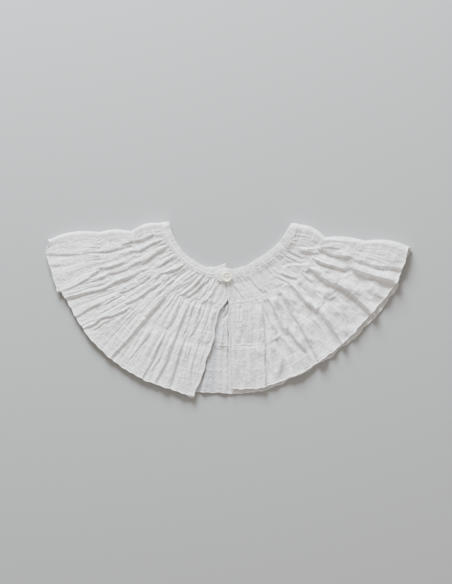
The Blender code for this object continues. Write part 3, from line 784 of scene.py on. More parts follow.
def maths(tree, operation, *values):
    """A Math node with its inputs linked or set; returns its output."""
    node = tree.nodes.new("ShaderNodeMath")
    node.operation = operation
    for socket, value in zip(node.inputs, values):
        if isinstance(value, bpy.types.NodeSocket):
            tree.links.new(value, socket)
        else:
            socket.default_value = value
    return node.outputs[0]


def stretched_noise(tree, vector, scale, detail):
    """Noise on a vector scaled by different amounts along each axis."""
    mapping = tree.nodes.new("ShaderNodeMapping")
    mapping.inputs["Scale"].default_value = scale
    tree.links.new(vector, mapping.inputs["Vector"])
    noise = tree.nodes.new("ShaderNodeTexNoise")
    noise.inputs["Scale"].default_value = 1.0
    noise.inputs["Detail"].default_value = detail
    noise.inputs["Roughness"].default_value = 0.6
    tree.links.new(mapping.outputs["Vector"], noise.inputs["Vector"])
    return noise.outputs["Fac"]


def new_material(name):
    """A material, its node tree and its Principled shader."""
    material = bpy.data.materials.new(name)
    material.use_nodes = True
    return material, material.node_tree, material.node_tree.nodes["Principled BSDF"]


def colour_mix(tree, **colours):
    """A mix of two colours, A and B; one that isn't given is linked later."""
    mix = tree.nodes.new("ShaderNodeMix")
    mix.data_type = "RGBA"
    for name, colour in colours.items():
        mix.inputs[name].default_value = colour
    return mix


def bumps(tree, distance, strength=1.0):
    """A Bump node."""
    bump = tree.nodes.new("ShaderNodeBump")
    bump.inputs["Distance"].default_value = distance
    bump.inputs["Strength"].default_value = strength
    return bump


THREAD_PITCH = 0.00045      # the weave's repeat, in metres
PANE_PITCH = 0.011          # from one thicker yarn to the next
PANE_LINE = 0.0015          # half the width over which its line fades


def pane_lines(tree, steps, pitch):
    """Thin lines between the steps: the thicker yarns of a windowpane weave."""
    near = maths(tree, "ABSOLUTE", maths(tree, "SUBTRACT", maths(tree, "FRACT", steps), 0.5))
    width = maths(tree, "DIVIDE", PANE_LINE, pitch)
    return maths(tree, "MAXIMUM", maths(tree, "SUBTRACT", 1.0, maths(tree, "DIVIDE", near, width)), 0.0)


def voile_group():
    """Plain weave with slubs both ways and a windowpane of thicker yarns, on a cut's map in metres."""
    group = bpy.data.node_groups.new("voile weave", "ShaderNodeTree")
    group.interface.new_socket("Cut", in_out="INPUT", socket_type="NodeSocketVector")
    for name in ("Thread Pitch", "Slub", "Crinkle", "Pane Pitch"):
        group.interface.new_socket(name, in_out="INPUT", socket_type="NodeSocketFloat")
    group.interface.new_socket("Tone", in_out="OUTPUT", socket_type="NodeSocketFloat")
    group.interface.new_socket("Height", in_out="OUTPUT", socket_type="NodeSocketFloat")
    start = group.nodes.new("NodeGroupInput")
    end = group.nodes.new("NodeGroupOutput")
    cut = start.outputs["Cut"]
    axes = group.nodes.new("ShaderNodeSeparateXYZ")
    group.links.new(cut, axes.inputs[0])
    turns = maths(group, "DIVIDE", 2 * math.pi, start.outputs["Thread Pitch"])
    warp = maths(group, "SINE", maths(group, "MULTIPLY", axes.outputs[0], turns))
    weft = maths(group, "SINE", maths(group, "MULTIPLY", axes.outputs[1], turns))
    weave = maths(group, "MULTIPLY_ADD", maths(group, "MULTIPLY", warp, weft), 0.5, 0.5)
    slub_down = stretched_noise(group, cut, (1500.0, 30.0, 1.0), 2.0)
    slub_along = stretched_noise(group, cut, (25.0, 1300.0, 1.0), 2.0)
    slubs = maths(group, "MAXIMUM", slub_down, slub_along)
    streak_down = stretched_noise(group, cut, (380.0, 14.0, 1.0), 2.0)
    streak_along = stretched_noise(group, cut, (16.0, 420.0, 1.0), 2.0)
    streaks = maths(group, "SUBTRACT", maths(group, "MAXIMUM", streak_down, streak_along), 0.56)
    slubs = maths(group, "MULTIPLY", maths(group, "SUBTRACT", slubs, 0.5), start.outputs["Slub"])
    crinkle_down = stretched_noise(group, cut, (480.0, 190.0, 1.0), 3.0)
    crinkle_along = stretched_noise(group, cut, (200.0, 480.0, 1.0), 3.0)
    crinkle = maths(group, "SUBTRACT", maths(group, "MULTIPLY_ADD", crinkle_along, 0.6, crinkle_down), 0.8)
    crinkle = maths(group, "MULTIPLY", crinkle, start.outputs["Crinkle"])
    drift_down = maths(group, "MULTIPLY", stretched_noise(group, cut, (60.0, 4.0, 1.0), 1.0), 1.5)
    drift_along = maths(group, "MULTIPLY", stretched_noise(group, cut, (3.0, 60.0, 1.0), 1.0), 1.5)
    pitch = start.outputs["Pane Pitch"]
    steps_down = maths(group, "ADD", maths(group, "DIVIDE", axes.outputs[0], pitch), drift_down)
    steps_along = maths(group, "ADD", maths(group, "DIVIDE", axes.outputs[1], pitch), drift_along)
    pane_down = pane_lines(group, steps_down, pitch)
    pane_along = pane_lines(group, steps_along, pitch)
    cell = group.nodes.new("ShaderNodeCombineXYZ")
    link(group, maths(group, "ROUND", steps_down), cell.inputs[0])
    link(group, maths(group, "ROUND", steps_along), cell.inputs[1])
    block = group.nodes.new("ShaderNodeTexWhiteNoise")
    block.noise_dimensions = "2D"
    link(group, cell.outputs[0], block.inputs["Vector"])
    blocks = maths(group, "SUBTRACT", block.outputs["Value"], 0.5)
    fade = stretched_noise(group, cut, (18.0, 45.0, 1.0), 1.0)
    fade = maths(group, "MULTIPLY", maths(group, "MAXIMUM", maths(group, "SUBTRACT", fade, 0.36), 0.0), 5.0)
    panes = maths(group, "MULTIPLY", maths(group, "MAXIMUM", pane_down, pane_along), fade)
    rough = maths(group, "MULTIPLY_ADD", slubs, 0.45, maths(group, "MULTIPLY_ADD", panes, 0.22, crinkle))
    link(group, maths(group, "MULTIPLY_ADD", weave, 0.06, rough), end.inputs["Height"])
    tone = maths(group, "MULTIPLY_ADD", slubs, 1.4, maths(group, "MULTIPLY_ADD", crinkle, 0.5, 0.42))
    tone = maths(group, "MULTIPLY_ADD", streaks, 1.1, tone)
    tone = maths(group, "MULTIPLY_ADD", blocks, 0.55, tone)
    link(group, maths(group, "MULTIPLY_ADD", panes, 3.2, tone), end.inputs["Tone"])
    return group


VOILE = voile_group()


SLIT_SHADE_GREY = 0.85           # how far the painted shade greys one layer of cloth in the slit, as if a darker ground showed through it


def make_cotton(name, slub, crinkle, depth):
    """White cotton voile on the piece's cut, with painted shade greying the slit where one layer shows."""
    material, tree, shader = new_material(name)
    shader.inputs["Roughness"].default_value = 0.85
    shader.inputs["Specular IOR Level"].default_value = 0.25
    shader.inputs["Sheen Weight"].default_value = 0.12
    shader.inputs["Sheen Roughness"].default_value = 0.6
    cut = tree.nodes.new("ShaderNodeUVMap")
    cut.uv_map = "cut"
    weave = tree.nodes.new("ShaderNodeGroup")
    weave.node_tree = VOILE
    weave.inputs["Thread Pitch"].default_value = THREAD_PITCH
    weave.inputs["Slub"].default_value = slub
    weave.inputs["Crinkle"].default_value = crinkle
    weave.inputs["Pane Pitch"].default_value = PANE_PITCH
    shade = colour_mix(tree, A=(0.74, 0.725, 0.71, 1.0), B=(0.95, 0.95, 0.955, 1.0))
    # painted shade: the slit's attribute takes the base colour towards a grey where one layer shows
    slit_shade_share = tree.nodes.new("ShaderNodeAttribute")
    slit_shade_share.attribute_name = "slit_shade"
    painted_grey_mix = colour_mix(tree, B=(0.60, 0.615, 0.65, 1.0))
    bump = bumps(tree, depth)
    link(
        tree,
        cut.outputs["UV"], weave.inputs["Cut"],
        weave.outputs["Tone"], shade.inputs["Factor"],
        shade.outputs["Result"], painted_grey_mix.inputs["A"],
        maths(tree, "MULTIPLY", slit_shade_share.outputs["Fac"], SLIT_SHADE_GREY), painted_grey_mix.inputs["Factor"],
        painted_grey_mix.outputs["Result"], shader.inputs["Base Color"],
        weave.outputs["Height"], bump.inputs["Height"],
        bump.outputs["Normal"], shader.inputs["Normal"],
    )
    return material


def from_seam(lay, depth, at_top):
    """How far the rows lie from a strip's upper or lower seam."""
    return lay.part * depth if at_top else (1 - lay.part) * depth


def near_seam(lay, depth, at_top, spread):
    """1 on a seam, falling to 0 over a distance down or up the strip."""
    away = from_seam(lay, depth, at_top)
    return np.exp(-(np.maximum(away, 0.0) / spread) ** 2)


def liveliness(lay, depth, left, right, by_edge=0.2):
    """How strongly the cloth is gathered: less by the left fold and on the right front, more under a seam."""
    ribs = (0, 2, 4, 6, 7.5, 10, 17, 24, 26, 31, 32.5, 34)
    edge = right + by_edge
    low = np.interp(
        lay.rib, ribs, (1.0, 0.95, left, left * 0.8, left * 0.4, 0.9, 1.0, 0.9, right, right, edge, edge),
    )[:, None]
    under_seam = np.interp(lay.rib, (0, 24, 26, 31.5, 32.5, 34), (0.75, 0.75, 0.22, 0.25, 0.55, 0.5))[:, None]
    return low + np.maximum(under_seam - low, 0.0) * near_seam(lay, depth, True, 5.0)


def seam_puckers(lay, depth, at_top, seed):
    """Small sharp creases beside a seam."""
    return crumple(lay, seed, 1.7, 2.4, 0.4) * near_seam(lay, depth, at_top, 4.0 if at_top else 5.0)


def seam_groove(lay, depth, at_top, seed):
    """A puckered groove beside a seam, deeper at some gathers than at others."""
    away = from_seam(lay, depth, at_top)
    dice = np.random.RandomState(seed)
    knots = np.arange(0.0, lay.along[-1] + 4.0, 2.1)
    deep = np.interp(lay.along, knots, dice.uniform(0.0, 1.0, len(knots)) ** 1.5)
    shift = np.interp(lay.along, knots, dice.uniform(-0.7, 0.7, len(knots)))[:, None]
    ribs = (0, 8, 24, 26, 30.5, 32.2, 32.8, 33.5, 34)
    level = np.interp(lay.rib, ribs, (1.4, 1.6, 1.6, 0.4, 0.2, 0.2, 1.0, 1.0, 0.3))
    return -(deep * level)[:, None] * np.exp(-((away - 2.4 - shift) / 1.0) ** 2)


def on_seam(lay, gathers):
    """The relief right on a seam."""
    level = np.interp(lay.rib, (0, 7, 10, 24, 26, 34), (0.9, 0.7, 1.0, 1.0, 0.7, 0.6))[:, None]
    return 1.3 * level * seam_bumps(lay, gathers, 2.3) - 1.3


def blend(inner, outer, share):
    """A mix of two reliefs."""
    return inner + (outer - inner) * share


def on_right(lay):
    """1 on the right front, where the cloth is pressed flat in broad panels, and 0 elsewhere."""
    return smooth((lay.rib - RIGHT_FOLD) / 1.5)[:, None]


PANEL_RIB = 31.6            # where the flat panel beside the right front edge begins


def off_panel(lay):
    """1 away from that flat panel, and little on it."""
    return 1 - 0.8 * smooth((lay.rib - PANEL_RIB) / 0.8)[:, None]


cotton = make_cotton("white cotton voile", 0.7, 1.3, 0.001)
NECK_GATHERS = seam_gathers("neck", 3.9, 11)
NECK_TUCKS = seam_gathers("neck", 1.9, 12)
SEAM_1_GATHERS = seam_gathers("seam_1", 4.2, 13)
# how far the gathers slant round the ring on their way down, by ribs
SLANT = ((0, 1, 4, 7, 26, 30, 33, 34), (2.0, 7.0, 6.0, 0.0, 0.0, -4.0, -3.0, 0.0))
TIER_WALL = 0.5
TIER_1 = Strip("neck", "seam_1", (0.0, 0.27), 3.6, 4.2)
TIER_1_DEPTH = 32.0
TIER_1_CUT = (0.034, 0.600)
lay_1 = lay_out(TIER_1, (330, 370, 330), rows_down(TIER_1_DEPTH, 22))
body_1 = (
    packed(
        lay_1, NECK_GATHERS, ((0, 0.3, 1), (2.2, 3.2, 4.4)), ((0, 0.15, 0.6, 1), (1.0, 2.4, 2.2, 1.2)),
        2.5, 14, SLANT,
    )
    + packed(
        lay_1, NECK_TUCKS, ((0, 0.5), (1.2, 1.7)), ((0, 0.1, 0.5, 0.7), (0.6, 0.8, 0.3, 0.0)),
        1.5, 15, SLANT,
    )
)
relief_1 = blend(
    body_1 * liveliness(lay_1, TIER_1_DEPTH, 0.65, 0.12)
    + crumple(lay_1, 17, 3.0, 11.0, 0.25)
    + crumple(lay_1, 16, 4.5, 3.2, 0.3) * (1 - 0.9 * on_right(lay_1))
    + seam_puckers(lay_1, TIER_1_DEPTH, False, 41)
    + seam_groove(lay_1, TIER_1_DEPTH, False, 45)
    + crumple(lay_1, 19, 8.0, 14.0, 0.4) * on_right(lay_1)
    + fine_pleats(lay_1, 18, 1.8, 0.22) * (1 - 0.7 * on_right(lay_1))
    - 1.3
    + (0.6 + 0.7 * on_right(lay_1)) * near_seam(lay_1, TIER_1_DEPTH, True, 4.0),
    on_seam(lay_1, SEAM_1_GATHERS),
    near_seam(lay_1, TIER_1_DEPTH, False, 3.0),
)
points_1 = drape(lay_1, relief_1)
tier_1 = cloth("tier_1_cloth", points_1, lay_1, TIER_1_CUT, TIER_WALL, cotton)
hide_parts("tier_1")

# ------------------------------------------------------------------------------
# Tier 2 is the second strip of the same voile, cut nearly half as long again as
# the edge that it is gathered to.  That is tier 1's lower edge, which lies over it.
# ------------------------------------------------------------------------------
SEAM_1_TUCKS = seam_gathers("seam_1", 2.1, 21)
SEAM_2_GATHERS = seam_gathers("seam_2", 4.2, 22)
TIER_2 = Strip("seam_1", "seam_2", (0.27, 0.58), 2.4, 0.0)
TIER_2_DEPTH = 40.0
TIER_2_CUT = (0.044, 0.850)
lay_2 = lay_out(TIER_2, (370, 400, 370), rows_down(TIER_2_DEPTH, 26))
body_2 = (
    packed(
        lay_2, SEAM_1_GATHERS, ((0, 0.3, 1), (2.4, 3.6, 5.0)), ((0, 0.12, 0.5, 1), (1.2, 2.3, 2.0, 1.1)),
        3.5, 23,
    )
    + packed(lay_2, SEAM_1_TUCKS, ((0, 0.5), (1.4, 2.0)), ((0, 0.1, 0.5, 0.8), (0.6, 0.8, 0.3, 0.0)), 1.5, 24)
)
inner_2 = (
    body_2 * liveliness(lay_2, TIER_2_DEPTH, 0.5, 0.3)
    + crumple(lay_2, 26, 3.2, 13.0, 0.25)
    + crumple(lay_2, 25, 4.5, 3.2, 0.3) * (1 - 0.6 * on_right(lay_2))
    + seam_puckers(lay_2, TIER_2_DEPTH, True, 42)
    + seam_puckers(lay_2, TIER_2_DEPTH, False, 43)
    + seam_groove(lay_2, TIER_2_DEPTH, True, 46)
    + seam_groove(lay_2, TIER_2_DEPTH, False, 47)
    + crumple(lay_2, 28, 9.0, 18.0, 2.1) * on_right(lay_2) * off_panel(lay_2)
    + fine_pleats(lay_2, 27, 1.8, 0.22)
    - 1.2
)
inner_2 = blend(inner_2, on_seam(lay_2, SEAM_1_GATHERS), near_seam(lay_2, TIER_2_DEPTH, True, 2.0))
relief_2 = blend(inner_2, on_seam(lay_2, SEAM_2_GATHERS), near_seam(lay_2, TIER_2_DEPTH, False, 3.0))
points_2 = drape(lay_2, relief_2)
tier_2 = cloth("tier_2_cloth", points_2, lay_2, TIER_2_CUT, TIER_WALL, cotton)
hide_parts("tier_2")

# ------------------------------------------------------------------------------
# Tier 3 is the widest strip of the same voile, gathered to tier 2's lower edge.
# It falls in loose waves to a free edge, and the back's edge shows a little past
# the right front's.
# ------------------------------------------------------------------------------
BACK_HEM_STEPS = (          # plan x and y, and how far its edge stands out there
    (60.0, -80.0, 0.9), (69.0, -76.0, -1.8), (96.0, -61.0, -1.0), (115.0, -52.0, 1.2), (125.0, -43.0, -2.1),
    (144.0, -28.0, 1.0), (151.0, -22.0, -1.7), (159.0, -14.0, 0.8), (176.0, 14.0, -1.4), (186.0, 26.0, 0.8),
    (198.0, 62.0, 2.2),
)
BACK_STEP_REACH = 6.0
CORNER_CUT = 4.6            # how far the hem rounds in at the left fold
CORNER_REACH = 6.0
CORNER_RIGHT = 0.2          # the part of it at the right fold
SMOOTH_RIB = 7.0            # between the left fold and the knife pleat, where the cloth is smoothest
SEAM_2_TUCKS = seam_gathers("seam_2", 2.2, 31)
HEM_WAVES = seam_gathers("hem", 13.0, 32)
TIER_3 = Strip("seam_2", "hem", (0.58, 1.0), 4.4, 0.0)
TIER_3_DEPTH = 52.0
TIER_3_CUT = (0.054, 1.200)
lay_3 = lay_out(TIER_3, (440, 380, 440), rows_down(TIER_3_DEPTH, 26)[:-1])
body_3 = (
    packed(
        lay_3, SEAM_2_GATHERS, ((0, 0.3, 1), (2.4, 3.8, 5.5)), ((0, 0.12, 0.4, 1), (1.2, 2.1, 1.6, 0.7)),
        4.0, 33,
    )
    + packed(lay_3, SEAM_2_TUCKS, ((0, 0.5), (1.4, 2.2)), ((0, 0.1, 0.4, 0.7), (0.6, 0.8, 0.3, 0.0)), 1.5, 34)
    + packed(lay_3, HEM_WAVES, ((0, 1), (6.0, 10.0)), ((0, 0.3, 1), (0.0, 0.2, 1.0)), 5.0, 35)
)
off_smooth = smooth(np.abs(lay_3.rib - SMOOTH_RIB) / 2.5)[:, None]
inner_3 = (
    body_3 * liveliness(lay_3, TIER_3_DEPTH, 0.5, 0.24, 0.0)
    + crumple(lay_3, 36, 3.4, 18.0, 0.25)
    + crumple(lay_3, 40, 5.0, 3.6, 0.3) * (1 - 0.6 * on_right(lay_3)) * off_smooth
    + seam_puckers(lay_3, TIER_3_DEPTH, True, 44)
    + seam_groove(lay_3, TIER_3_DEPTH, True, 48)
    + crumple(lay_3, 39, 10.0, 22.0, 1.8) * on_right(lay_3) * off_panel(lay_3)
    + fine_pleats(lay_3, 38, 1.9, 0.22)
    - 1.0
    - 0.6 * smooth(lay_3.part * 1.6 - 0.6)
)
relief_3 = blend(inner_3, on_seam(lay_3, SEAM_2_GATHERS), near_seam(lay_3, TIER_3_DEPTH, True, 2.0))
points_3 = drape(lay_3, relief_3)
dice = np.random.RandomState(37)
scallop = sum(
    dice.uniform(0.1, 0.3) * np.sin(lay_3.along / length * 2 * math.pi + dice.uniform(0, 6.28))
    for length in (9.0, 14.0, 21.0, 33.0)
)
outwards = lay_3.point[:, -1] - lay_3.point[:, 0]
outwards[:, 2] = 0.0
outwards /= np.linalg.norm(outwards, axis=1)[:, None]
hem_place = lay_3.point[:, -1]
for step_x, step_y, step in BACK_HEM_STEPS:
    away = np.hypot(hem_place[:, 0] - step_x, hem_place[:, 1] - step_y)
    scallop = scallop + np.where(lay_3.is_back, step * np.exp(-(away / BACK_STEP_REACH) ** 2), 0.0)
points_3 = points_3 + outwards[:, None] * (scallop[:, None] * smooth(lay_3.part) ** 3)[..., None]
corner_cut = CORNER_CUT * np.exp(-(lay_3.past_fold / CORNER_REACH) ** 2)
corner_cut = corner_cut * np.where(on_left(lay_3), 1.0, CORNER_RIGHT)[:, None]
points_3 = points_3 - outwards[:, None] * (corner_cut * smooth(lay_3.part) ** 8)[..., None]
tier_3 = cloth("tier_3_cloth", points_3, lay_3, TIER_3_CUT, TIER_WALL, cotton)
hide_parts("tier_3")

# ------------------------------------------------------------------------------
# The neckband is a bias strip of the same voile, folded lengthwise over tier 1's
# upper edge and stitched through.  On the right it runs on past the front edge
# as a tab, which lies over the band's left end.
# ------------------------------------------------------------------------------
TAB = (
    Rib((-6.8, 43.8), (-6.8, 30.8), 7.5),
    Rib((-14.7, 41.3), (-14.2, 31.4), 7.5),
)
BAND = Strip("collar", "neck", (-0.07, 0.0), 0.0, 0.0, TAB)
BAND_CUT = (0.0265, 0.392)
BAND_WALL = 0.45
BAND_PROUD = 0.70           # how far it stands over the tier that it holds
BAND_THICK = 2.7
STITCH_LINE = 0.8           # part of its width where it is stitched through
LOWER_ROLL = 0.9            # part of its width where it is fullest below the stitches
TURNED_IN = 0.5             # how far its lower edges are turned in
TAB_ROUND = 4.5             # the length over which the tab's tip is rounded
TAB_SINK = 1.1              # how far the tip sinks to the cloth under it
TAB_SINK_RUN = 12.0
MID_FACE = 0.45             # the place nearest a face's middle
# places across each face, from the lower edge (1) to the fold (0), closer at the stitches and the fold
face = np.array((
    1.03, 1.0, 0.965, 0.935, 0.905, 0.875, 0.84, STITCH_LINE, 0.76,
    0.7, 0.6, MID_FACE, 0.3, 0.18, 0.09, 0.03, 0.0,
))
section = np.concatenate((face, [-0.04], face[::-1]))
crown = np.sqrt(np.clip(1 - ((face - 0.5) / 0.56) ** 2, 0.0, 1.0))
lay_band = lay_out(BAND, (190, 210, 230), section)
away_end = np.minimum(lay_band.along, lay_band.along[-1] - lay_band.along)
full = np.sqrt(np.clip(away_end / 1.6, 0.12, 1.0))[:, None]
inset = (1 - crown) * 0.75
groove = 0.5 * np.exp(-((face - STITCH_LINE) / 0.035) ** 2)
groove = groove - 0.35 * np.exp(-((face - LOWER_ROLL) / 0.045) ** 2)
top_face = BAND_PROUD - (inset + groove)
top_face[0] -= TURNED_IN
under_face = BAND_PROUD - BAND_THICK + inset[::-1] + groove[::-1]
under_face[-1] += TURNED_IN
middle_depth = BAND_PROUD - BAND_THICK / 2
height = np.concatenate((top_face, [middle_depth], under_face))
height = middle_depth + (height - middle_depth) * full
lumps = crumple(lay_band, 41, 6.0, 5.0, 0.16)
lumps[:, len(face):] *= -0.4
pucker = np.interp(face, (STITCH_LINE, LOWER_ROLL, face[0]), (0.0, 1.0, 1.0))
pucker = np.concatenate((pucker, [0.0], np.zeros(len(face))))
level_band = lay_band._replace(part=np.zeros(len(section)))
ripple = packed(level_band, NECK_GATHERS, ((0, 1), (2.2, 2.2)), ((0, 1), (0.7, 0.7)), 0.0, 42)
point_band = lay_band.point + lay_band.outward * (height + lumps + (ripple - 0.5) * pucker)[..., None]
from_tip = lay_band.along[-1] - lay_band.along
round_end = np.sqrt(np.clip(1 - (1 - np.clip(from_tip / TAB_ROUND, 0.02, 1.0)) ** 2, 0.0, 1.0))[:, None, None]
middle_line = lay_band.point[:, [list(face).index(MID_FACE)]]
in_plan = np.array((1.0, 1.0, 0.0))
point_band[..., 2] -= (TAB_SINK * (1 - smooth(from_tip / TAB_SINK_RUN)))[:, None]
point_band = point_band + (middle_line - point_band) * in_plan * (1 - round_end)
point_band[..., 2] = np.maximum(point_band[..., 2], 0.0)
cut_band = lay_band._replace(part=np.linspace(0.0, 1.0, len(section)))
neckband = cloth("neckband_cloth", point_band[:, ::-1], cut_band, BAND_CUT, BAND_WALL, cotton)
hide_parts("neckband")

# ------------------------------------------------------------------------------
# The narrow rolled hem runs along tier 3's free edge and up both front edges,
# where the cloth is rolled tight and stitched.
# ------------------------------------------------------------------------------
ROLL_RADIUS = 0.7
ROLL_OUT = 0.25             # how far its middle stands out past the cloth's edge
ROLL_LOWEST = 0.8           # the roll's middle stays this high over the table


def thread(name, lines, radius, material, uneven=0.0, seed=0):
    """Round cords along lines of points in millimetres, as one curve object."""
    dice = np.random.RandomState(seed)
    data = bpy.data.curves.new(name, "CURVE")
    data.dimensions = "3D"
    data.bevel_depth = radius * MM
    data.bevel_resolution = 1
    data.use_fill_caps = True
    for line in lines:
        spline = data.splines.new("POLY")
        spline.points.add(len(line) - 1)
        for spot, place in zip(spline.points, line):
            spot.co = (*((np.array(place) - MIDDLE) * MM), 1.0)
            spot.radius = 1 + uneven * dice.uniform(-1.0, 1.0)
    data.materials.append(material)
    made = add_to_scene(name, data)
    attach(made, "root")
    return made


def make_thread(name, colour, roughness):
    """Spun cotton thread: a tone that varies along it."""
    material, tree, shader = new_material(name)
    shader.inputs["Roughness"].default_value = roughness
    place = tree.nodes.new("ShaderNodeTexCoord")
    noise = stretched_noise(tree, place.outputs["Object"], (900.0, 900.0, 900.0), 3.0)
    darker = tuple(value * 0.86 for value in colour)
    shade = colour_mix(tree, A=darker + (1.0,), B=colour + (1.0,))
    bump = bumps(tree, 0.0002)
    link(
        tree,
        noise, shade.inputs["Factor"],
        shade.outputs["Result"], shader.inputs["Base Color"],
        noise, bump.inputs["Height"],
        bump.outputs["Normal"], shader.inputs["Normal"],
    )
    return material


rolled_cotton = make_thread("rolled cotton edge", (0.97, 0.965, 0.96), 0.8)
left_edge, right_edge = (
    np.concatenate((points_1[end, 2:-1], points_2[end, 1:-1], points_3[end, 1:])) for end in (0, -1)
)
hem_line = points_3[1:-1, -1] + outwards[1:-1] * ROLL_OUT
hem_line[:, 2] = np.maximum(hem_line[:, 2], ROLL_LOWEST)
hem_path = np.concatenate((left_edge, hem_line, right_edge[::-1]))
hem = thread("rolled_hem", [hem_path], ROLL_RADIUS, rolled_cotton, uneven=0.14, seed=51)

# ------------------------------------------------------------------------------
# Whip stitches of white cotton thread go slantwise over the rolled hem all the
# way round and sink a little into it.
# ------------------------------------------------------------------------------
WHIP_STEP = 2.4
WHIP_TURN = np.radians((-25.0, 30.0, 90.0, 150.0, 205.0))
WHIP_RADIUS = 0.72
WHIP_SLANT = 0.35           # how far a stitch runs on along the hem for each radian of its turn
WHIP_THREAD = 0.11
WHIP_LOWEST = 0.12          # the thread's middle stays this high over the table


def points_along(values, lengths, places):
    """A line's values, such as its points, at lengths along it."""
    return np.stack([np.interp(places, lengths, values[:, axis]) for axis in range(3)], axis=1)


thread_white = make_thread("white cotton thread", (0.88, 0.87, 0.85), 0.6)
hem_lengths = lengths_along(hem_path)
places = np.arange(2.0, hem_lengths[-1] - 2.0, WHIP_STEP)
centres = points_along(hem_path, hem_lengths, places)
runs = points_along(hem_path, hem_lengths, places + 0.8) - centres
runs[:, 2] = 0.0
runs /= np.maximum(np.linalg.norm(runs, axis=1), 1e-6)[:, None]
sideways = np.stack((-runs[:, 1], runs[:, 0], runs[:, 2]), axis=1)
whips = []
for centre, run, side in zip(centres, runs, sideways):
    whip = np.array([
        centre + side * WHIP_RADIUS * math.cos(turn) + run * WHIP_SLANT * (turn - math.pi / 2)
        + np.array((0.0, 0.0, WHIP_RADIUS * math.sin(turn)))
        for turn in WHIP_TURN
    ])
    whip[:, 2] = np.maximum(whip[:, 2], WHIP_LOWEST)
    whips.append(whip)
hem_stitching = thread("hem_stitching", whips, WHIP_THREAD, thread_white)

# ------------------------------------------------------------------------------
# Stitching: one line of small cotton stitches holds the neckband, just above its
# lower edge.
# ------------------------------------------------------------------------------
STITCH_STEP = 2.6
STITCH_LENGTH = 1.7
STITCH_PARTS = np.array((0.0, 0.15, 0.5, 0.85, 1.0))
STITCH_RISE = np.array((-0.2, 0.08, 0.14, 0.08, -0.2))     # over the band, at each of those parts
STITCH_THREAD = 0.16
stitch_row = list(face).index(STITCH_LINE)
stitch_path = point_band[:, stitch_row]
stitch_lengths = lengths_along(stitch_path)
stitches = []
for start in np.arange(3.0, stitch_lengths[-1] - 4.0, STITCH_STEP):
    spots = start + STITCH_PARTS * STITCH_LENGTH
    stitch = points_along(stitch_path, stitch_lengths, spots)
    out = points_along(lay_band.outward[:, stitch_row], stitch_lengths, spots)
    stitch = stitch + out * STITCH_RISE[:, None]
    stitch[:, 2] = np.maximum(stitch[:, 2], STITCH_THREAD)
    stitches.append(stitch)
stitching = thread("band_stitching", stitches, STITCH_THREAD, thread_white)

# ------------------------------------------------------------------------------
# The button is a small two-hole shirt button turned from shell, with a raised
# rim.  It is sewn to the neckband's left end and stands over the tab, where it
# hides the buttonhole that it came up through.
# ------------------------------------------------------------------------------
BUTTON_SEAT = np.array((-1.3, 36.1, 8.3))
BUTTON_PROFILE = (          # distance from the axis and height
    (0.0, 1.45), (2.4, 1.47), (3.3, 1.52), (3.8, 1.68), (4.2, 1.95), (4.6, 2.08), (4.95, 2.04), (5.25, 1.9),
    (5.46, 1.7), (5.5, 1.3), (5.42, 0.95), (5.1, 0.5), (4.4, 0.12), (3.4, 0.0), (0.0, 0.0),
)
HOLE_RADIUS = 0.85
HOLE_SIDES = (-2.0, 2.0)
DRILL_LENGTH = 8.0


def make_pearl():
    """Cream shell: cloudy bands and a thin clear polish."""
    material, tree, shader = new_material("cream shell")
    shader.inputs["Coat Weight"].default_value = 0.5
    shader.inputs["Coat Roughness"].default_value = 0.12
    shader.inputs["Subsurface Weight"].default_value = 0.05
    shader.inputs["Subsurface Radius"].default_value = (0.003, 0.002, 0.001)
    shader.inputs["Subsurface Scale"].default_value = 1.0
    place = tree.nodes.new("ShaderNodeTexCoord")
    cloud = stretched_noise(tree, place.outputs["Object"], (260.0, 700.0, 300.0), 3.0)
    ramp = tree.nodes.new("ShaderNodeValToRGB")
    ramp.color_ramp.elements[0].position = 0.3
    ramp.color_ramp.elements[0].color = (0.97, 0.87, 0.66, 1.0)
    ramp.color_ramp.elements[1].position = 0.7
    ramp.color_ramp.elements[1].color = (0.985, 0.95, 0.79, 1.0)
    gloss = maths(tree, "MULTIPLY_ADD", cloud, 0.2, 0.25)
    bump = bumps(tree, 0.0001, 0.4)
    link(
        tree,
        cloud, ramp.inputs["Fac"],
        ramp.outputs["Color"], shader.inputs["Base Color"],
        gloss, shader.inputs["Roughness"],
        cloud, bump.inputs["Height"],
        bump.outputs["Normal"], shader.inputs["Normal"],
    )
    return material


shape = bmesh.new()
corners = [shape.verts.new((x, 0.0, z)) for x, z in BUTTON_PROFILE]
for corner, following in zip(corners, corners[1:]):
    shape.edges.new((corner, following))
bmesh.ops.spin(
    shape, geom=shape.verts[:] + shape.edges[:], axis=(0.0, 0.0, 1.0), cent=(0.0, 0.0, 0.0),
    steps=64, angle=math.tau, use_merge=True,
)
bmesh.ops.remove_doubles(shape, verts=shape.verts, dist=0.01)
bmesh.ops.recalc_face_normals(shape, faces=shape.faces)
bmesh.ops.transform(shape, matrix=Matrix.Translation(Vector(BUTTON_SEAT - MIDDLE)), verts=shape.verts)
bmesh.ops.scale(shape, vec=(MM, MM, MM), verts=shape.verts)
button = add_to_scene("turned_button", mesh_from(shape, "button_blank"))
drills = []
for side in HOLE_SIDES:
    drill = bmesh.new()
    bmesh.ops.create_cone(
        drill, cap_ends=True, segments=28, radius1=HOLE_RADIUS, radius2=HOLE_RADIUS, depth=DRILL_LENGTH,
    )
    middle = Vector(BUTTON_SEAT - MIDDLE) + Vector((side, 0.0, 1.0))
    bmesh.ops.transform(drill, matrix=Matrix.Translation(middle), verts=drill.verts)
    bmesh.ops.scale(drill, vec=(MM, MM, MM), verts=drill.verts)
    drills.append(add_to_scene("drill", mesh_from(drill, "drill")))
    cut = button.modifiers.new("hole", "BOOLEAN")
    cut.object = drills[-1]
    cut.operation = "DIFFERENCE"
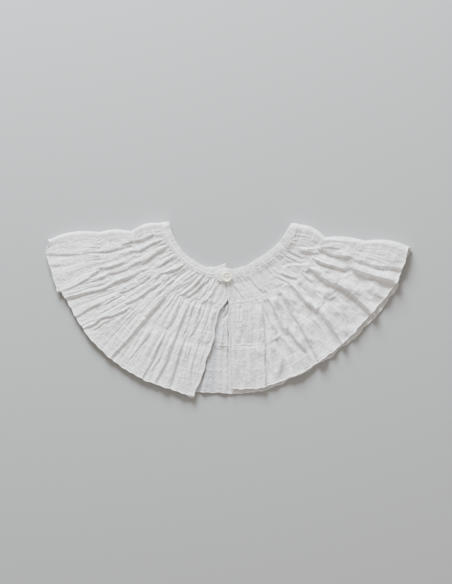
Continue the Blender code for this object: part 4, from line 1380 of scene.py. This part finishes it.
drilled = bpy.data.meshes.new_from_object(button.evaluated_get(bpy.context.evaluated_depsgraph_get()))
button.modifiers.clear()
button.data = drilled
for drill in drills:
    bpy.data.objects.remove(drill, do_unlink=True)
drilled.shade_smooth()
drilled.set_sharp_from_angle(angle=math.radians(35.0))
drilled.materials.clear()
drilled.materials.append(make_pearl())
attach(button, "root")
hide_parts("button")

# ------------------------------------------------------------------------------
# Cream cotton sewing thread crosses the button from hole to hole in three passes
# and goes down the holes.
# ------------------------------------------------------------------------------
BUTTON_THREAD = 0.12
bars = []
for offset in (-0.22, 0.0, 0.22):
    bars.append([
        BUTTON_SEAT + (HOLE_SIDES[0], offset, 0.2),
        BUTTON_SEAT + (HOLE_SIDES[0] + 0.1, offset, 1.2),
        BUTTON_SEAT + (HOLE_SIDES[0] + 0.6, offset, 1.52),
        BUTTON_SEAT + (0.0, offset * 0.7, 1.58),
        BUTTON_SEAT + (HOLE_SIDES[1] - 0.6, offset, 1.52),
        BUTTON_SEAT + (HOLE_SIDES[1] - 0.1, offset, 1.2),
        BUTTON_SEAT + (HOLE_SIDES[1], offset, 0.2),
    ])
thread_cream = make_thread("cream cotton thread", (0.74, 0.68, 0.58), 0.7)
button_thread = thread("button_thread", bars, BUTTON_THREAD, thread_cream)

# ------------------------------------------------------------------------------
# Three loose ends of white cotton thread stand out at the left front's lower
# corner, where the rolled hem turns up the front edge.
# ------------------------------------------------------------------------------
LOOSE_THREAD = 0.17
LOOSE_LOWEST = 0.2          # the thread's middle stays this high over the table
corner = points_3[0, -1]
ends = [
    corner + np.array(((0.0, 0.4, 0.0), (-1.2, -1.0, 0.3), (-2.6, -1.2, 0.0), (-3.6, -2.2, -0.8))),
    corner + np.array(((-1.5, 0.6, 0.0), (-3.0, -0.4, 0.4), (-4.8, -0.2, 0.2), (-6.2, -1.2, -0.4))),
    corner + np.array(((-0.5, 0.6, 0.0), (0.2, -1.2, 0.2), (-0.6, -2.4, -0.4))),
]
for end in ends:
    end[:, 2] = np.maximum(end[:, 2], LOOSE_LOWEST)
loose_ends = thread("loose_ends", ends, LOOSE_THREAD, thread_white)

# ------------------------------------------------------------------------------
# Floor, light and camera: a plain pale floor, a soft key low beyond the neck and
# a little to its left, a weak fill from the right of the hem and a camera
# straight above.
# ------------------------------------------------------------------------------
FLOOR_GAP = 0.0002          # the floor lies this far under the cloth, in metres
grid = bmesh.new()
bmesh.ops.create_grid(grid, x_segments=1, y_segments=1, size=3.0)
bmesh.ops.translate(grid, vec=(0.0, 0.0, -FLOOR_GAP), verts=grid.verts)
floor = add_to_scene("floor", mesh_from(grid, "floor"))
floor_paint, _, floor_shader = new_material("pale floor")
floor_shader.inputs["Base Color"].default_value = (0.40, 0.41, 0.41, 1.0)
floor_shader.inputs["Roughness"].default_value = 0.9
floor.data.materials.append(floor_paint)


def area_light(name, place, size, power, colour):
    """A square soft light that points at the collar."""
    data = bpy.data.lights.new(name, "AREA")
    data.size = size
    data.energy = power
    data.color = colour
    light = add_to_scene(name, data)
    light.location = place
    light.rotation_euler = (-Vector(place)).to_track_quat("-Z", "Y").to_euler()


area_light("key", (-0.38, 1.50, 0.74), 0.7, 97.0, (0.90, 0.95, 1.0))
area_light("fill", (0.9, -0.7, 1.6), 1.6, 4.0, (1.0, 0.92, 0.84))
world = bpy.data.worlds.new("studio")
world.use_nodes = True
world.node_tree.nodes["Background"].inputs["Color"].default_value = (1.0, 0.91, 0.83, 1.0)
world.node_tree.nodes["Background"].inputs["Strength"].default_value = 0.54
bpy.context.scene.world = world

VIEW_HEIGHT = 0.6424        # what the frame shows from top to bottom, in metres
VIEW_LEVEL = 0.005          # the height over the floor at which it shows that
lens = bpy.data.cameras.new("overhead")
lens.lens = 85.0
lens.sensor_fit = "VERTICAL"
lens.sensor_height = 36.0
camera = add_to_scene("overhead", lens)
camera.location = (-0.0021, 0.0189, VIEW_HEIGHT * lens.lens / lens.sensor_height + VIEW_LEVEL)
bpy.context.scene.camera = camera
